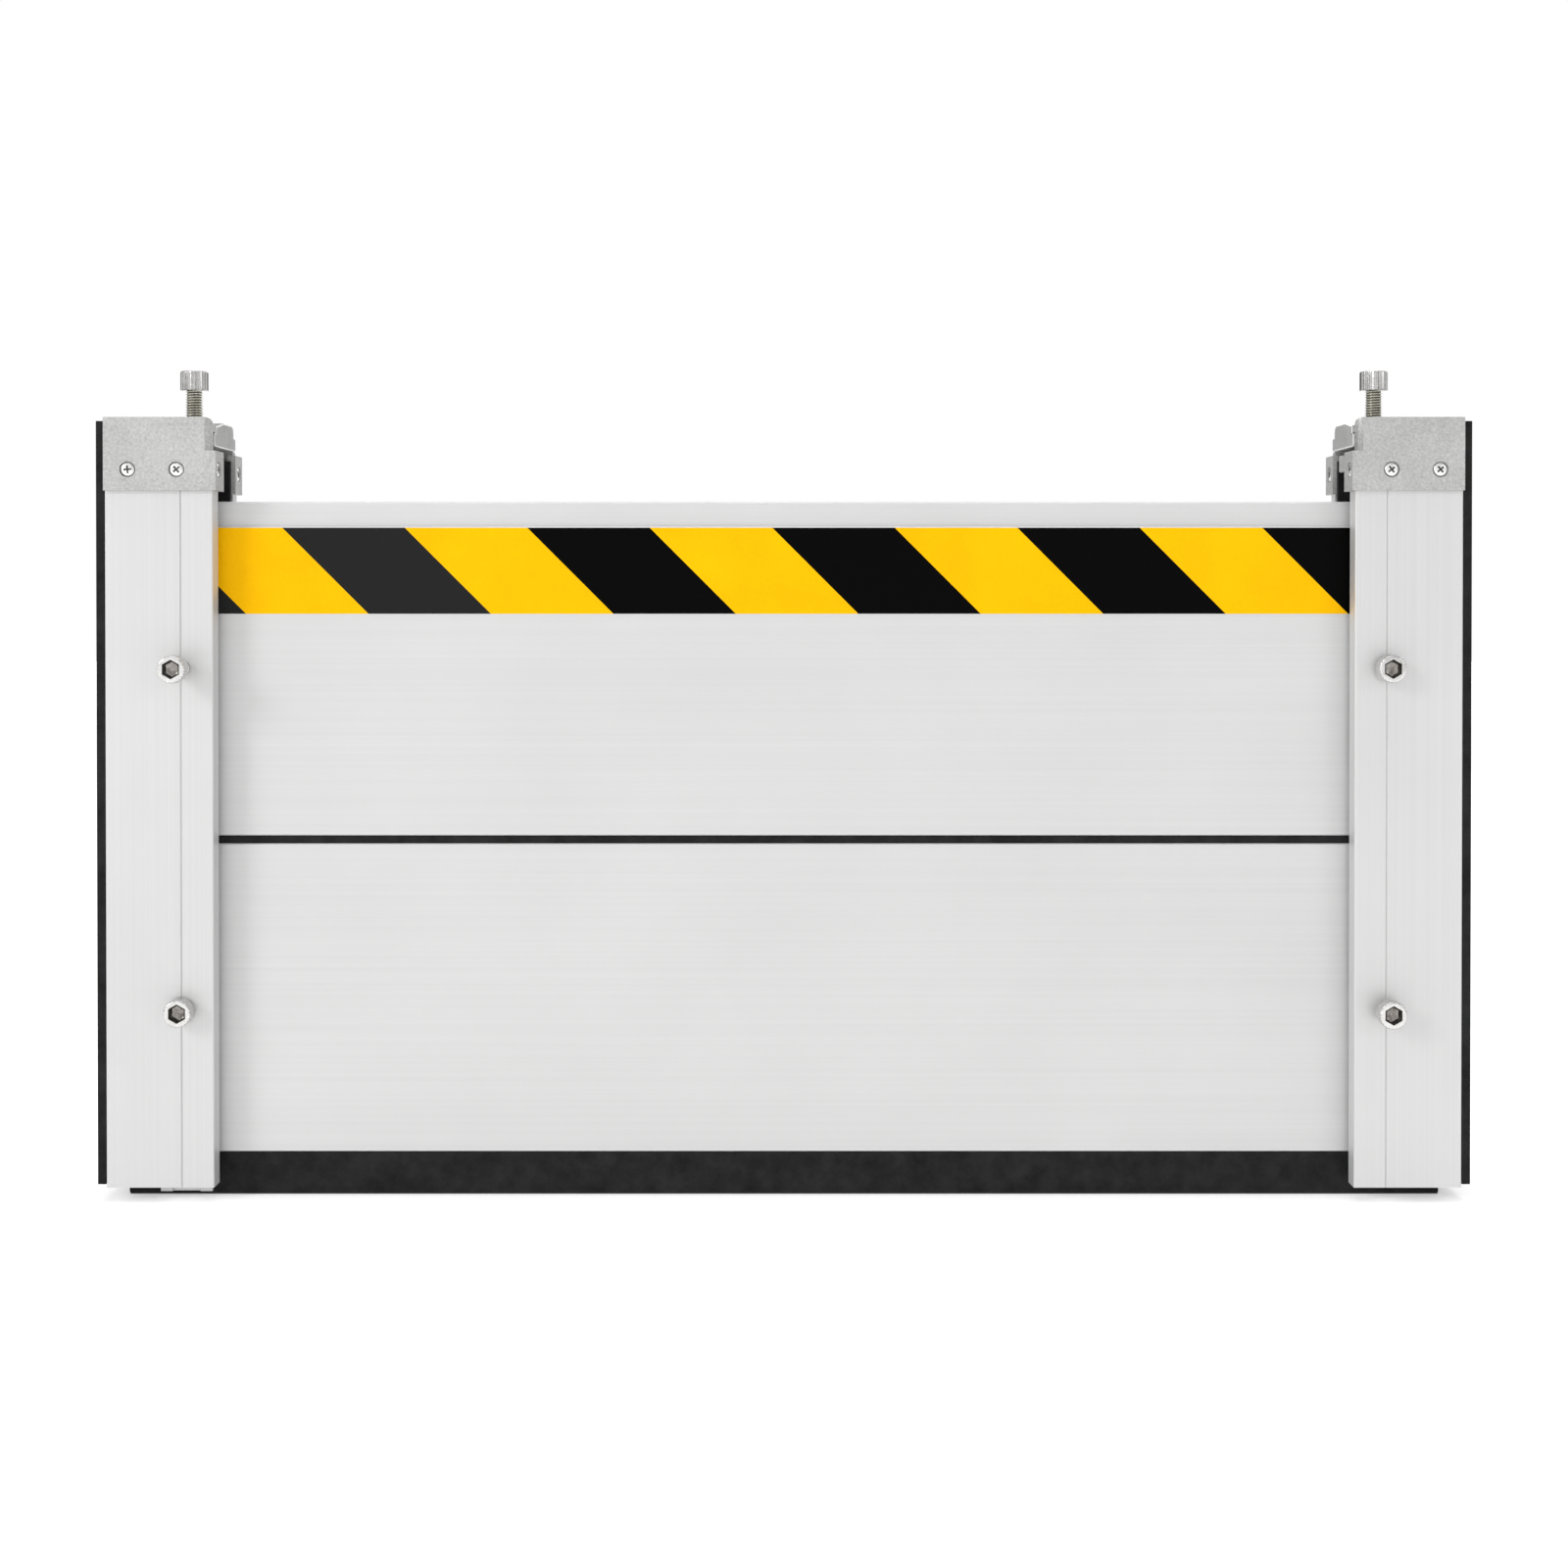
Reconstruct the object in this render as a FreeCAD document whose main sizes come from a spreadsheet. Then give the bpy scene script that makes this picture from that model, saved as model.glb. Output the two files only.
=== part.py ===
import FreeCAD, Part

import math
import os
import re

import Sketcher

# Demountable flood barrier: two aluminium stop-log panels stand on each other between
# two wall posts. Side screws push them back against rubber seals, and a press screw in
# each post's cap pushes them down on the floor seal.
#
# Frame: +X to the right, front faces -Y, +Z up. The origin is the middle of the floor
# seal's underside. Everything is drawn for the right-hand post and mirrored to the left.

V = FreeCAD.Vector

# Driving sizes in millimetres, each with the name of its cell in the sheet.
SIZES = {
    # opening and posts
    "opening_width": 656,  # clear width between the two posts
    "post_width": 62,  # post, across the barrier
    "post_floor_gap": 8.5,  # posts end this far above the floor
    "post_head_room": 24.9,  # top of the post above the stack of panels
    "post_front_flange": 12.6,  # thickness of the clamping flange
    "post_rear_flange": 10,  # thickness of the sealing flange
    "post_shell": 2,  # wall of the hollow flanges
    "post_web": 4,  # wall that is bolted to the building
    "post_corner": 0.8,  # rounding of the outer corners
    "drill_line": 18.5,  # clamp screws, from the mouth of the slot
    "drill_mark_width": 1.2,  # V groove that marks the drill line
    "drill_mark_depth": 0.6,
    "boss_half": 9.5,  # solid strip of the flange each side of the drill line
    # panels
    "panel_thickness": 24,
    "panel_height": 180,  # visible face of one panel
    "panel_shell": 2,
    "panel_edge": 0.8,  # bevel along the edges of a face
    "panel_end_gap": 4,  # panel end to the post's web
    "tongue_height": 14.5,
    "tongue_setback": 3,  # panel face to tongue face
    "tongue_bevel": 1,
    "seam_height": 4.5,  # rubber between two faces
    "gasket_skin": 0.8,  # rubber over the tongue
    "gasket_setback": 0.5,
    "slide_gap": 0.3,  # between pieces that slide past each other
    "plug_plate": 2,
    "plug_stub": 12,
    "floor_seal_height": 25.1,
    "floor_seal_wall": 3,
    "floor_seal_bevel": 2,
    "floor_seal_inset": 0.5,  # its end, in from the panel's
    "tape_height": 50,
    "tape_thickness": 0.2,
    # seals of the posts
    "slot_seal_thickness": 6.7,
    "slot_seal_lip": 2.9,
    "slot_seal_wall": 1.2,
    "slot_seal_start": 3,  # body, in from the mouth
    "slot_seal_end_gap": 1,
    "seal_neck_width": 4,
    "seal_root_width": 10,
    "seal_root_depth": 4,
    "seal_root_start": 17,
    "wall_seal_thickness": 5,
    "wall_seal_rise": 20.5,  # above the post's top
    "wall_seal_lift": 2,  # above the post's foot
    "wall_groove_width": 2,
    "wall_groove_depth": 1,
    "wall_groove_pitch": 14,
    "anchor_radius": 4.5,  # clearance for an M8 anchor
    "anchor_low": 100,
    "anchor_pitch": 220,
    # clamp screws, M10
    "thread_radius": 5,
    "thread_gap": 0.1,
    "thread_lead": 0.8,
    "screw_head_radius": 8,
    "side_head_height": 10,
    "screw_head_bevel": 0.7,
    "socket_flats": 8,
    "socket_depth": 6,
    "side_screw_reach": 1.6,  # screw length over the flange's thickness
    "side_screw_low": 102,  # above the foot of the post
    "side_screw_pitch": 197,
    "pad_radius": 3,
    "pad_gap": 0.1,
    "pad_length": 3.1,
    "pad_proud": 0.3,
    "left_upper_proud": 22,  # face of the head in front of the post
    "left_lower_proud": 11,
    "right_upper_proud": 13.25,
    "right_lower_proud": 16.25,
    # press bar behind the front flange
    "bar_start": 4.3,  # in from the mouth
    "bar_width": 30,
    "bar_rib": 7,
    "bar_thickness": 2.8,
    "bar_web": 1.1,
    "bar_travel": 0.8,
    "bar_gap": 0.3,
    "bar_head_gap": 20.5,  # its top below the post's
    "left_bar_drop": 5.3,  # hangs below the left post
    # cap casting
    "cap_skin": 3,
    "cap_wrap": 2.5,
    "cap_skirt": 19.4,
    "cap_ledge": 3.4,
    "cap_rise": 19.2,
    "cap_plate": 5,
    "cap_side": 6,
    "cap_rounding": 4,
    "hook_gap": 0.6,  # hook to panel face
    "front_hook_reach": 3,
    "rear_hook_reach": 2.4,
    "rear_hook_depth": 3.5,
    "rear_plate_inset": 8,
    "rear_plate": 7,
    "lip_thickness": 4,
    "lip_gap": 0.5,  # over the carriage's front shoulder
    "lip_reach": 6,
    "cap_screw_head_radius": 4,
    "cap_screw_head_height": 1.8,
    "cap_screw_recess": 4.6,
    "cap_screw_radius": 2,
    "cap_screw_hole": 2.1,
    "cap_screw_length": 13,
    "rear_screw_length": 6.5,
    "cap_screw_drop": 7.4,  # below the post's top
    "cap_screw_inner": 20,  # from the mouth
    "cap_screw_outer": 14,  # from the wall face
    "cheek_screw_length": 8,
    "cheek_screw_inset": 5,  # from the post's outer face
    "cross_length": 4.6,
    "cross_width": 1.1,
    "cross_depth": 1.3,
    # clamp carriage, foot and press screw
    "carriage_gap": 0.3,
    "carriage_floor": 6,  # underside above the post's top
    "carriage_height": 15,
    "carriage_front_gap": 3,  # to the cap's front plate
    "carriage_rear_flange": 4.7,
    "carriage_flange_rise": 8,
    "carriage_proud": 0.5,  # out of the mouth
    "carriage_end_gap": 12,
    "carriage_rounding": 4,
    "carriage_slope": 16,  # depth of the sloping front of its top
    "carriage_slope_drop": 3,
    "press_line": 17.7,  # press screw, from the mouth
    "press_head_height": 11.5,
    "press_head_rise": 40.2,  # underside of the head above the post's top
    "foot_rise": 2.9,  # top of the foot above the post's top
    "foot_thickness": 10,
    "foot_setback": 1,  # in from the panel's faces
    "foot_room": 21,  # post width left over past the foot's length
    "right_foot_inset": 0.2,  # in from the mouth
    "left_foot_inset": 5,
    "foot_bevel": 1.5,
    "pin_radius": 3.5,
    "pin_length": 6,
    "pin_gap": 0.1,
    # cutters
    "cut_lead": 1,  # start outside the metal
}

# Places worked out from the sizes, as formulas.
PLACES = {
    "panel_half": "panel_thickness / 2",
    "tongue_half": "panel_half - tongue_setback",
    "skin_half": "tongue_half + gasket_skin",
    "groove_half": "skin_half + slide_gap",
    "groove_depth": "tongue_height + gasket_skin + slide_gap - seam_height",
    "panel_top": "panel_height + tongue_height",
    "panel_pitch": "panel_height + seam_height",
    "lower_base": "floor_seal_height",
    "upper_base": "lower_base + panel_pitch",
    "stack_top": "upper_base + panel_top",
    "mouth": "opening_width / 2",
    "wall_face": "mouth + post_width",
    "web_face": "wall_face - post_web",
    "panel_end": "web_face - panel_end_gap",
    "extrusion_end": "panel_end - plug_plate",
    "bar_front": "0 - panel_half - tape_thickness - bar_gap - bar_travel - bar_thickness",
    "slot_front": "bar_front - bar_gap",
    "slot_rear": "panel_half + slide_gap + slot_seal_thickness",
    "post_front": "slot_front - post_front_flange",
    "post_rear": "slot_rear + post_rear_flange",
    "post_foot": "post_floor_gap",
    "post_top": "stack_top + post_head_room",
    "post_length": "post_top - post_foot",
    "bar_length": "post_length - bar_head_gap",
    "side_screw_length": "post_front_flange + side_screw_reach",
    "drill_x": "mouth + drill_line",
    "root_x": "mouth + seal_root_start",
    "neck_x": "root_x + (seal_root_width - seal_neck_width) / 2",
    "skirt_low": "post_top - cap_skirt",
    "ledge_top": "post_top + cap_ledge",
    "cap_top": "ledge_top + cap_rise",
    "cap_front": "post_front - cap_skin",
    "cap_rear": "post_rear + cap_skin",
    "cap_inner": "mouth - cap_wrap",
    "plate_back": "cap_front + cap_plate",
    "rear_plate_front": "cap_rear - rear_plate",
    "carriage_low": "post_top + carriage_floor",
    "carriage_front": "plate_back + carriage_front_gap",
    "carriage_rear": "rear_plate_front - carriage_gap",
    "shoulder": "carriage_low + carriage_flange_rise",
    "press_x": "mouth + press_line",
    "foot_top": "post_top + foot_rise",
    "foot_width": "panel_thickness - 2 * foot_setback",
    "foot_length": "post_width - foot_room",
    "head_under": "post_top + press_head_rise",
    "cap_screw_z": "post_top - cap_screw_drop",
}

WORD = re.compile(r"\b[a-z][a-z0-9_]*\b")
TURNED = {
    "x": FreeCAD.Rotation(V(0, 1, 0), 90),
    "y": FreeCAD.Rotation(V(1, 0, 0), -90),
    "z": FreeCAD.Rotation(),
}

doc = FreeCAD.newDocument("FloodBarrier")
sheet = doc.addObject("Spreadsheet::Sheet", "Sizes")
nodes = []


def fill_sheet():
    """Write each driving size in a cell of its own, under its name."""
    for row, (name, value) in enumerate(SIZES.items(), start=1):
        sheet.set(f"A{row}", name)
        sheet.set(f"B{row}", str(value))
        sheet.setAlias(f"B{row}", name)
    doc.recompute()


def formula(text):
    """Turn a formula on names into one on the sheet's cells."""

    def swap(match):
        word = match.group(0)
        if word in PLACES:
            return f"({formula(PLACES[word])})"
        if word in SIZES:
            return f"Sizes.{word}"
        return word

    return WORD.sub(swap, text)


def bind(thing, **properties):
    """Bind an object's properties to formulas on the sheet."""
    for name, text in properties.items():
        thing.setExpression(name, formula(text))


def place(thing, x="0", y="0", z="0"):
    """Bind an object's position."""
    for axis, text in zip("xyz", (x, y, z)):
        thing.setExpression(f"Placement.Base.{axis}", formula(text))
    return thing


def node(thing, label):
    """Give a finished sub-part its own name and keep it for export."""
    thing.Label = label
    nodes.append(thing)
    return thing


def block(x, y, z):
    """A box between a low and a high formula on each axis."""
    box = doc.addObject("Part::Box", "Block")
    for side, (low, high) in zip(("Length", "Width", "Height"), (x, y, z)):
        bind(box, **{side: f"({high}) - ({low})"})
    return place(box, x[0], y[0], z[0])


def rod(axis, x, y, z, radius, length):
    """A round bar that starts at a point and runs along +X, +Y or +Z."""
    bar = doc.addObject("Part::Cylinder", "Rod")
    bar.Placement = FreeCAD.Placement(V(), TURNED[axis])
    bind(bar, Radius=radius, Height=length)
    return place(bar, x, y, z)


def several(kind, parts):
    """Join objects as one: a Part::MultiFuse, or a Part::Compound that keeps them apart."""
    joined = doc.addObject(kind, "Group")
    if kind == "Part::MultiFuse":
        joined.Shapes = parts
        joined.Refine = True
    else:
        joined.Links = parts
    return joined


def cut(base, tools):
    """Take a list of tools out of a base."""
    result = doc.addObject("Part::Cut", "Cut")
    result.Base = base
    result.Tool = several("Part::Compound", tools) if len(tools) > 1 else tools[0]
    return result


def mirrored(thing):
    """The same piece on the other side of the middle plane."""
    other = doc.addObject("Part::Mirroring", "Mirror")
    other.Source = thing
    other.Normal = V(1, 0, 0)
    return other


def both_sides(thing, name):
    """Keep a right-hand piece and its mirror image as two nodes."""
    node(thing, f"right_{name}")
    return node(mirrored(thing), f"left_{name}")


def outline(body, plane, loops):
    """A sketch of closed loops on one of the body's own planes, each corner bound."""
    sketch = body.newObject("Sketcher::SketchObject", "Outline")
    origin = [part for part in body.Origin.OriginFeatures if part.Role == plane]
    sketch.AttachmentSupport = (origin[0], [""])
    sketch.MapMode = "FlatFace"
    for corners in loops:
        first = sketch.GeometryCount
        count = len(corners)
        turns = [2 * math.pi * step / count for step in range(count + 1)]
        spots = [V(math.cos(turn), math.sin(turn), 0) for turn in turns]
        for start, end in zip(spots, spots[1:]):
            sketch.addGeometry(Part.LineSegment(start, end))
        for step, corner in enumerate(corners):
            here, after = first + step, first + (step + 1) % count
            sketch.addConstraint(Sketcher.Constraint("Coincident", here, 2, after, 1))
            for way, text in zip(("DistanceX", "DistanceY"), corner):
                held = Sketcher.Constraint(way, -1, 1, here, 1, 1.0)
                index = sketch.addConstraint(held)
                sketch.setExpression(f"Constraints[{index}]", formula(text))
    return sketch


def rectangle(x_low, x_high, y_low, y_high):
    """The corners of a rectangle."""
    return [(x_low, y_low), (x_high, y_low), (x_high, y_high), (x_low, y_high)]


def extruded(plane, loops, length, middle=False):
    """A PartDesign body padded from an outline, upwards or both ways from the plane."""
    body = doc.addObject("PartDesign::Body", "Extrusion")
    pad = body.newObject("PartDesign::Pad", "Pad")
    pad.Profile = outline(body, plane, loops)
    pad.SideType = "Symmetric" if middle else "One side"
    bind(pad, Length=length)
    return body


def turned(corners):
    """A PartDesign body turned about +Z from half of its section."""
    body = doc.addObject("PartDesign::Body", "Turning")
    sketch = outline(body, "XZ_Plane", [corners])
    turning = body.newObject("PartDesign::Revolution", "Turn")
    turning.Profile = sketch
    turning.ReferenceAxis = (sketch, ["V_Axis"])
    turning.Angle = 360
    return body


def hexagon(flats, low, high):
    """A six-sided bar about the Z axis, given across its flats."""
    bar = doc.addObject("Part::Prism", "Hexagon")
    bar.Polygon = 6
    bind(bar, Circumradius=f"({flats}) / sqrt(3)", Height=f"({high}) - ({low})")
    return place(bar, z=low)


def corner_edges(shape):
    """The upright edges on the four corners of a shape's bounding box."""
    box = shape.BoundBox
    found = []
    for number, edge in enumerate(shape.Edges, start=1):
        span = edge.BoundBox
        upright = span.XLength < 0.01 and span.YLength < 0.01
        at_side = min(abs(span.XMin - box.XMin), abs(span.XMin - box.XMax)) < 0.01
        at_face = min(abs(span.YMin - box.YMin), abs(span.YMin - box.YMax)) < 0.01
        if upright and at_side and at_face:
            found.append(f"Edge{number}")
    return found


def build_posts():
    """U-shaped hollow extrusions with a drill line, anchor holes and tapped holes."""
    section = [
        ("mouth", "post_front"),
        ("drill_x - drill_mark_width / 2", "post_front"),
        ("drill_x", "post_front + drill_mark_depth"),
        ("drill_x + drill_mark_width / 2", "post_front"),
        ("wall_face", "post_front"),
        ("wall_face", "post_rear"),
        ("drill_x + drill_mark_width / 2", "post_rear"),
        ("drill_x", "post_rear - drill_mark_depth"),
        ("drill_x - drill_mark_width / 2", "post_rear"),
        ("mouth", "post_rear"),
        ("mouth", "slot_rear"),
        ("neck_x", "slot_rear"),
        ("neck_x", "slot_rear + post_shell"),
        ("root_x", "slot_rear + post_shell"),
        ("root_x", "slot_rear + post_shell + seal_root_depth"),
        ("root_x + seal_root_width", "slot_rear + post_shell + seal_root_depth"),
        ("root_x + seal_root_width", "slot_rear + post_shell"),
        ("neck_x + seal_neck_width", "slot_rear + post_shell"),
        ("neck_x + seal_neck_width", "slot_rear"),
        ("web_face", "slot_rear"),
        ("web_face", "slot_front"),
        ("mouth", "slot_front"),
    ]
    front = ("post_front + post_shell", "slot_front - post_shell")
    rear = ("slot_rear + post_shell", "post_rear - post_shell")
    chambers = [
        rectangle("mouth + post_shell", "drill_x - boss_half", *front),
        rectangle("drill_x + boss_half", "web_face - post_shell", *front),
        rectangle("mouth + post_shell", "root_x - post_shell", *rear),
        rectangle("root_x + seal_root_width + post_shell", "web_face - post_shell", *rear),
    ]
    body = extruded("XY_Plane", [section] + chambers, "post_length")
    doc.recompute()
    pad = body.Tip
    rounding = body.newObject("PartDesign::Fillet", "Corners")
    rounding.Base = (pad, corner_edges(pad.Shape))
    bind(rounding, Radius="post_corner")
    body.Tip = rounding
    place(body, z="post_foot")

    holes = []
    for height in ("side_screw_low", "side_screw_low + side_screw_pitch"):
        holes.append(
            rod("y", "drill_x", "post_front - cut_lead", f"post_foot + {height}",
                "thread_radius + thread_gap", "post_front_flange + 2 * cut_lead")
        )
    holes += anchor_holes()
    for x in ("mouth + cap_screw_inner", "wall_face - cap_screw_outer"):
        holes.append(
            rod("y", x, "post_front - cut_lead", "cap_screw_z", "cap_screw_hole", "cap_screw_length")
        )
        holes.append(
            rod("y", x, "cap_rear - rear_screw_length - slide_gap", "cap_screw_z",
                "cap_screw_hole", "rear_screw_length")
        )
    for y in ("post_front + cheek_screw_inset", "post_rear - cheek_screw_inset"):
        holes.append(
            rod("x", "mouth - cut_lead", y, "cap_screw_z", "cap_screw_hole", "cheek_screw_length")
        )
    both_sides(cut(body, holes), "post")


def anchor_holes():
    """Bars as wide as the anchor holes, through the web and the wall seal."""
    return [
        rod("x", "web_face - cut_lead", "0", f"post_foot + {height}", "anchor_radius",
            "post_web + wall_seal_thickness + 2 * cut_lead")
        for height in ("anchor_low", "anchor_low + anchor_pitch")
    ]


def build_wall_seals():
    """Flat rubber strips between post and building, grooved on the wall side."""
    outer = "wall_face + wall_seal_thickness"
    section = [("wall_face", "post_front"), (outer, "post_front")]
    for step in (-1, 0, 1):
        middle = f"(post_front + post_rear) / 2 + ({step}) * wall_groove_pitch"
        section += [
            (outer, f"{middle} - wall_groove_width / 2"),
            (f"{outer} - wall_groove_depth", middle),
            (outer, f"{middle} + wall_groove_width / 2"),
        ]
    section += [(outer, "post_rear"), ("wall_face", "post_rear")]
    body = extruded("XY_Plane", [section], "post_length + wall_seal_rise - wall_seal_lift")
    place(body, z="post_foot + wall_seal_lift")
    both_sides(cut(body, anchor_holes()), "wall_seal")


def build_slot_seals():
    """Hollow rubber seals with a lip at the mouth and a root held in the rear flange."""
    face = "slot_rear - slot_seal_thickness"
    back = f"{face} + slot_seal_lip"
    end = "web_face - slot_seal_end_gap"
    start = "mouth + slot_seal_start"
    neck_low = "neck_x + slide_gap"
    neck_high = "neck_x + seal_neck_width - slide_gap"
    root_low = "root_x + slide_gap"
    root_high = "root_x + seal_root_width - slide_gap"
    root_near = "slot_rear + post_shell + slide_gap"
    root_far = "slot_rear + post_shell + seal_root_depth - slide_gap"
    section = [
        ("mouth", face),
        (end, face),
        (end, "slot_rear"),
        (neck_high, "slot_rear"),
        (neck_high, root_near),
        (root_high, root_near),
        (root_high, root_far),
        (root_low, root_far),
        (root_low, root_near),
        (neck_low, root_near),
        (neck_low, "slot_rear"),
        (start, "slot_rear"),
        (start, back),
        ("mouth", back),
    ]
    depth = (f"{face} + slot_seal_wall", "slot_rear - slot_seal_wall")
    chambers = [
        rectangle(f"{start} + slot_seal_wall", "neck_x - slot_seal_wall", *depth),
        rectangle("neck_x + seal_neck_width + slot_seal_wall", f"{end} - slot_seal_wall", *depth),
    ]
    body = extruded("XY_Plane", [section] + chambers, "post_length")
    both_sides(place(body, z="post_foot"), "slot_seal")


def panel_section():
    """Outline of a panel: groove below, tongue above, in depth and height."""
    shoulder, tip = "panel_height", "panel_top"
    half = [
        ("groove_half", "0"),
        ("panel_half - panel_edge", "0"),
        ("panel_half", "panel_edge"),
        ("panel_half", f"{shoulder} - panel_edge"),
        ("panel_half - panel_edge", shoulder),
        ("tongue_half", shoulder),
        ("tongue_half", f"{tip} - tongue_bevel"),
        ("tongue_half - tongue_bevel", tip),
    ]
    mirror = [(f"0 - ({depth})", height) for depth, height in reversed(half)]
    groove = [("0 - (groove_half)", "groove_depth"), ("groove_half", "groove_depth")]
    return half + mirror + groove


def chamber_rows():
    """Three equal chambers, one above another, as low and high formulas."""
    low = "groove_depth + panel_shell"
    room = f"((panel_height - 4 * panel_shell - groove_depth) / 3)"
    rows = []
    for step in range(3):
        start = f"{low} + {step} * ({room} + panel_shell)"
        rows.append((start, f"{start} + {room}"))
    return rows


def build_panels():
    """Two equal hollow planks with their end plugs."""
    inner = "panel_half - panel_shell"
    loops = [panel_section()]
    loops += [rectangle(f"0 - ({inner})", inner, *row) for row in chamber_rows()]
    tongue = "tongue_half - panel_shell"
    loops.append(rectangle(f"0 - ({tongue})", tongue, "panel_height", "panel_top - panel_shell"))
    for name in ("lower", "upper"):
        base = f"{name}_base"
        plank = extruded("YZ_Plane", loops, "2 * (extrusion_end)", middle=True)
        node(place(plank, z=base), f"{name}_panel")

        plate = extruded("YZ_Plane", [panel_section()], "plug_plate")
        place(plate, x="extrusion_end", z=base)
        grip = f"{inner} - slide_gap"
        stubs = [
            block(
                ("extrusion_end - plug_stub", "extrusion_end"),
                (f"0 - ({grip})", grip),
                (f"{base} + {low} + slide_gap", f"{base} + {high} - slide_gap"),
            )
            for low, high in chamber_rows()
        ]
        plug = several("Part::MultiFuse", [plate] + stubs)
        pair = several("Part::Compound", [plug, mirrored(plug)])
        node(pair, f"{name}_end_plugs")


def build_panel_seals():
    """The rubber saddle on the lower tongue and the hollow seal under the stack."""
    outer = [
        ("panel_half - gasket_setback", "0"),
        ("panel_half - gasket_setback", "seam_height"),
        ("skin_half", "seam_height"),
        ("skin_half", "tongue_height - tongue_bevel"),
        ("skin_half - tongue_bevel", "tongue_height + gasket_skin"),
    ]
    inner = [
        ("tongue_half", "0"),
        ("tongue_half", "tongue_height - tongue_bevel"),
        ("tongue_half - tongue_bevel", "tongue_height"),
    ]
    section = outer + [(f"0 - ({depth})", height) for depth, height in reversed(outer)]
    section += [(f"0 - ({depth})", height) for depth, height in inner]
    section += list(reversed(inner))
    saddle = extruded("YZ_Plane", [section], "2 * (panel_end)", middle=True)
    node(place(saddle, z="lower_base + panel_height"), "seam_gasket")

    insert = "groove_half - slide_gap"
    half = [
        ("panel_half - floor_seal_bevel", "0"),
        ("panel_half", "floor_seal_bevel"),
        ("panel_half", "floor_seal_height"),
        (insert, "floor_seal_height"),
        (insert, "floor_seal_height + groove_depth - slide_gap"),
    ]
    section = half + [(f"0 - ({depth})", height) for depth, height in reversed(half)]
    cell = "panel_half - floor_seal_wall"
    room = "((floor_seal_height - 3 * floor_seal_wall) / 2)"
    loops = [section]
    for low in ("floor_seal_wall", f"2 * floor_seal_wall + {room}"):
        loops.append(rectangle(f"0 - ({cell})", cell, low, f"{low} + {room}"))
    seal = extruded("YZ_Plane", loops, "2 * (panel_end - floor_seal_inset)", middle=True)
    node(place(seal), "floor_seal")


def build_tape():
    """The band of warning tape along the top of the upper panel's front face."""
    top = "upper_base + panel_height - panel_edge"
    tape = block(
        ("0 - (extrusion_end)", "extrusion_end"),
        ("0 - (panel_half) - tape_thickness", "0 - (panel_half)"),
        (f"{top} - tape_height", top),
    )
    node(tape, "hazard_tape")


def build_press_bars():
    """Ribbed strips behind the front flanges that spread the side screws' load."""
    low, high = "mouth + bar_start", "mouth + bar_start + bar_width"
    back = "bar_front + bar_thickness"
    section = [
        (low, "bar_front"),
        (f"{low} + bar_rib", "bar_front"),
        (f"{low} + bar_rib", f"{back} - bar_web"),
        (f"{high} - bar_rib", f"{back} - bar_web"),
        (f"{high} - bar_rib", "bar_front"),
        (high, "bar_front"),
        (high, back),
        (low, back),
    ]
    for side, drop in (("right", "0"), ("left", "left_bar_drop")):
        bar = extruded("XY_Plane", [section], "bar_length")
        place(bar, z=f"post_foot - {drop}")
        node(bar if side == "right" else mirrored(bar), f"{side}_press_bar")


def socket_screw(head_height, tip):
    """A socket head screw along Z with its head above z = 0 and the given tip below."""
    section = tip + [
        ("thread_radius", "0"),
        ("screw_head_radius", "0"),
        ("screw_head_radius", f"{head_height} - screw_head_bevel"),
        ("screw_head_radius - screw_head_bevel", head_height),
        ("0", head_height),
    ]
    socket = hexagon("socket_flats", f"{head_height} - socket_depth", f"{head_height} + 1")
    return cut(turned(section), [socket])


def build_side_screws():
    """Four clamp screws through the front flanges, each with a pad in its bored end."""
    end = "0 - side_screw_length"
    bore = "pad_radius + pad_gap"
    bore_end = f"{end} + pad_length - pad_proud + pad_gap"
    tip = [
        ("0", bore_end),
        (bore, bore_end),
        (bore, end),
        ("thread_radius - thread_lead", end),
        ("thread_radius", f"{end} + thread_lead"),
    ]
    heights = {"lower": "side_screw_low", "upper": "side_screw_low + side_screw_pitch"}
    for side, way in (("left", "0 - "), ("right", "")):
        for level, height in heights.items():
            proud = f"{side}_{level}_proud"
            under = f"post_front - {proud} + side_head_height"
            spot = {"x": f"{way}(drill_x)", "z": f"post_foot + {height}"}
            screw = socket_screw("side_head_height", tip)
            screw.Placement = FreeCAD.Placement(V(), FreeCAD.Rotation(V(1, 0, 0), 90))
            node(place(screw, y=under, **spot), f"{side}_{level}_screw")
            pad_start = f"{under} + side_screw_length + pad_proud - pad_length"
            pad = rod("y", spot["x"], pad_start, spot["z"], "pad_radius", "pad_length")
            node(pad, f"{side}_{level}_pad")


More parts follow.
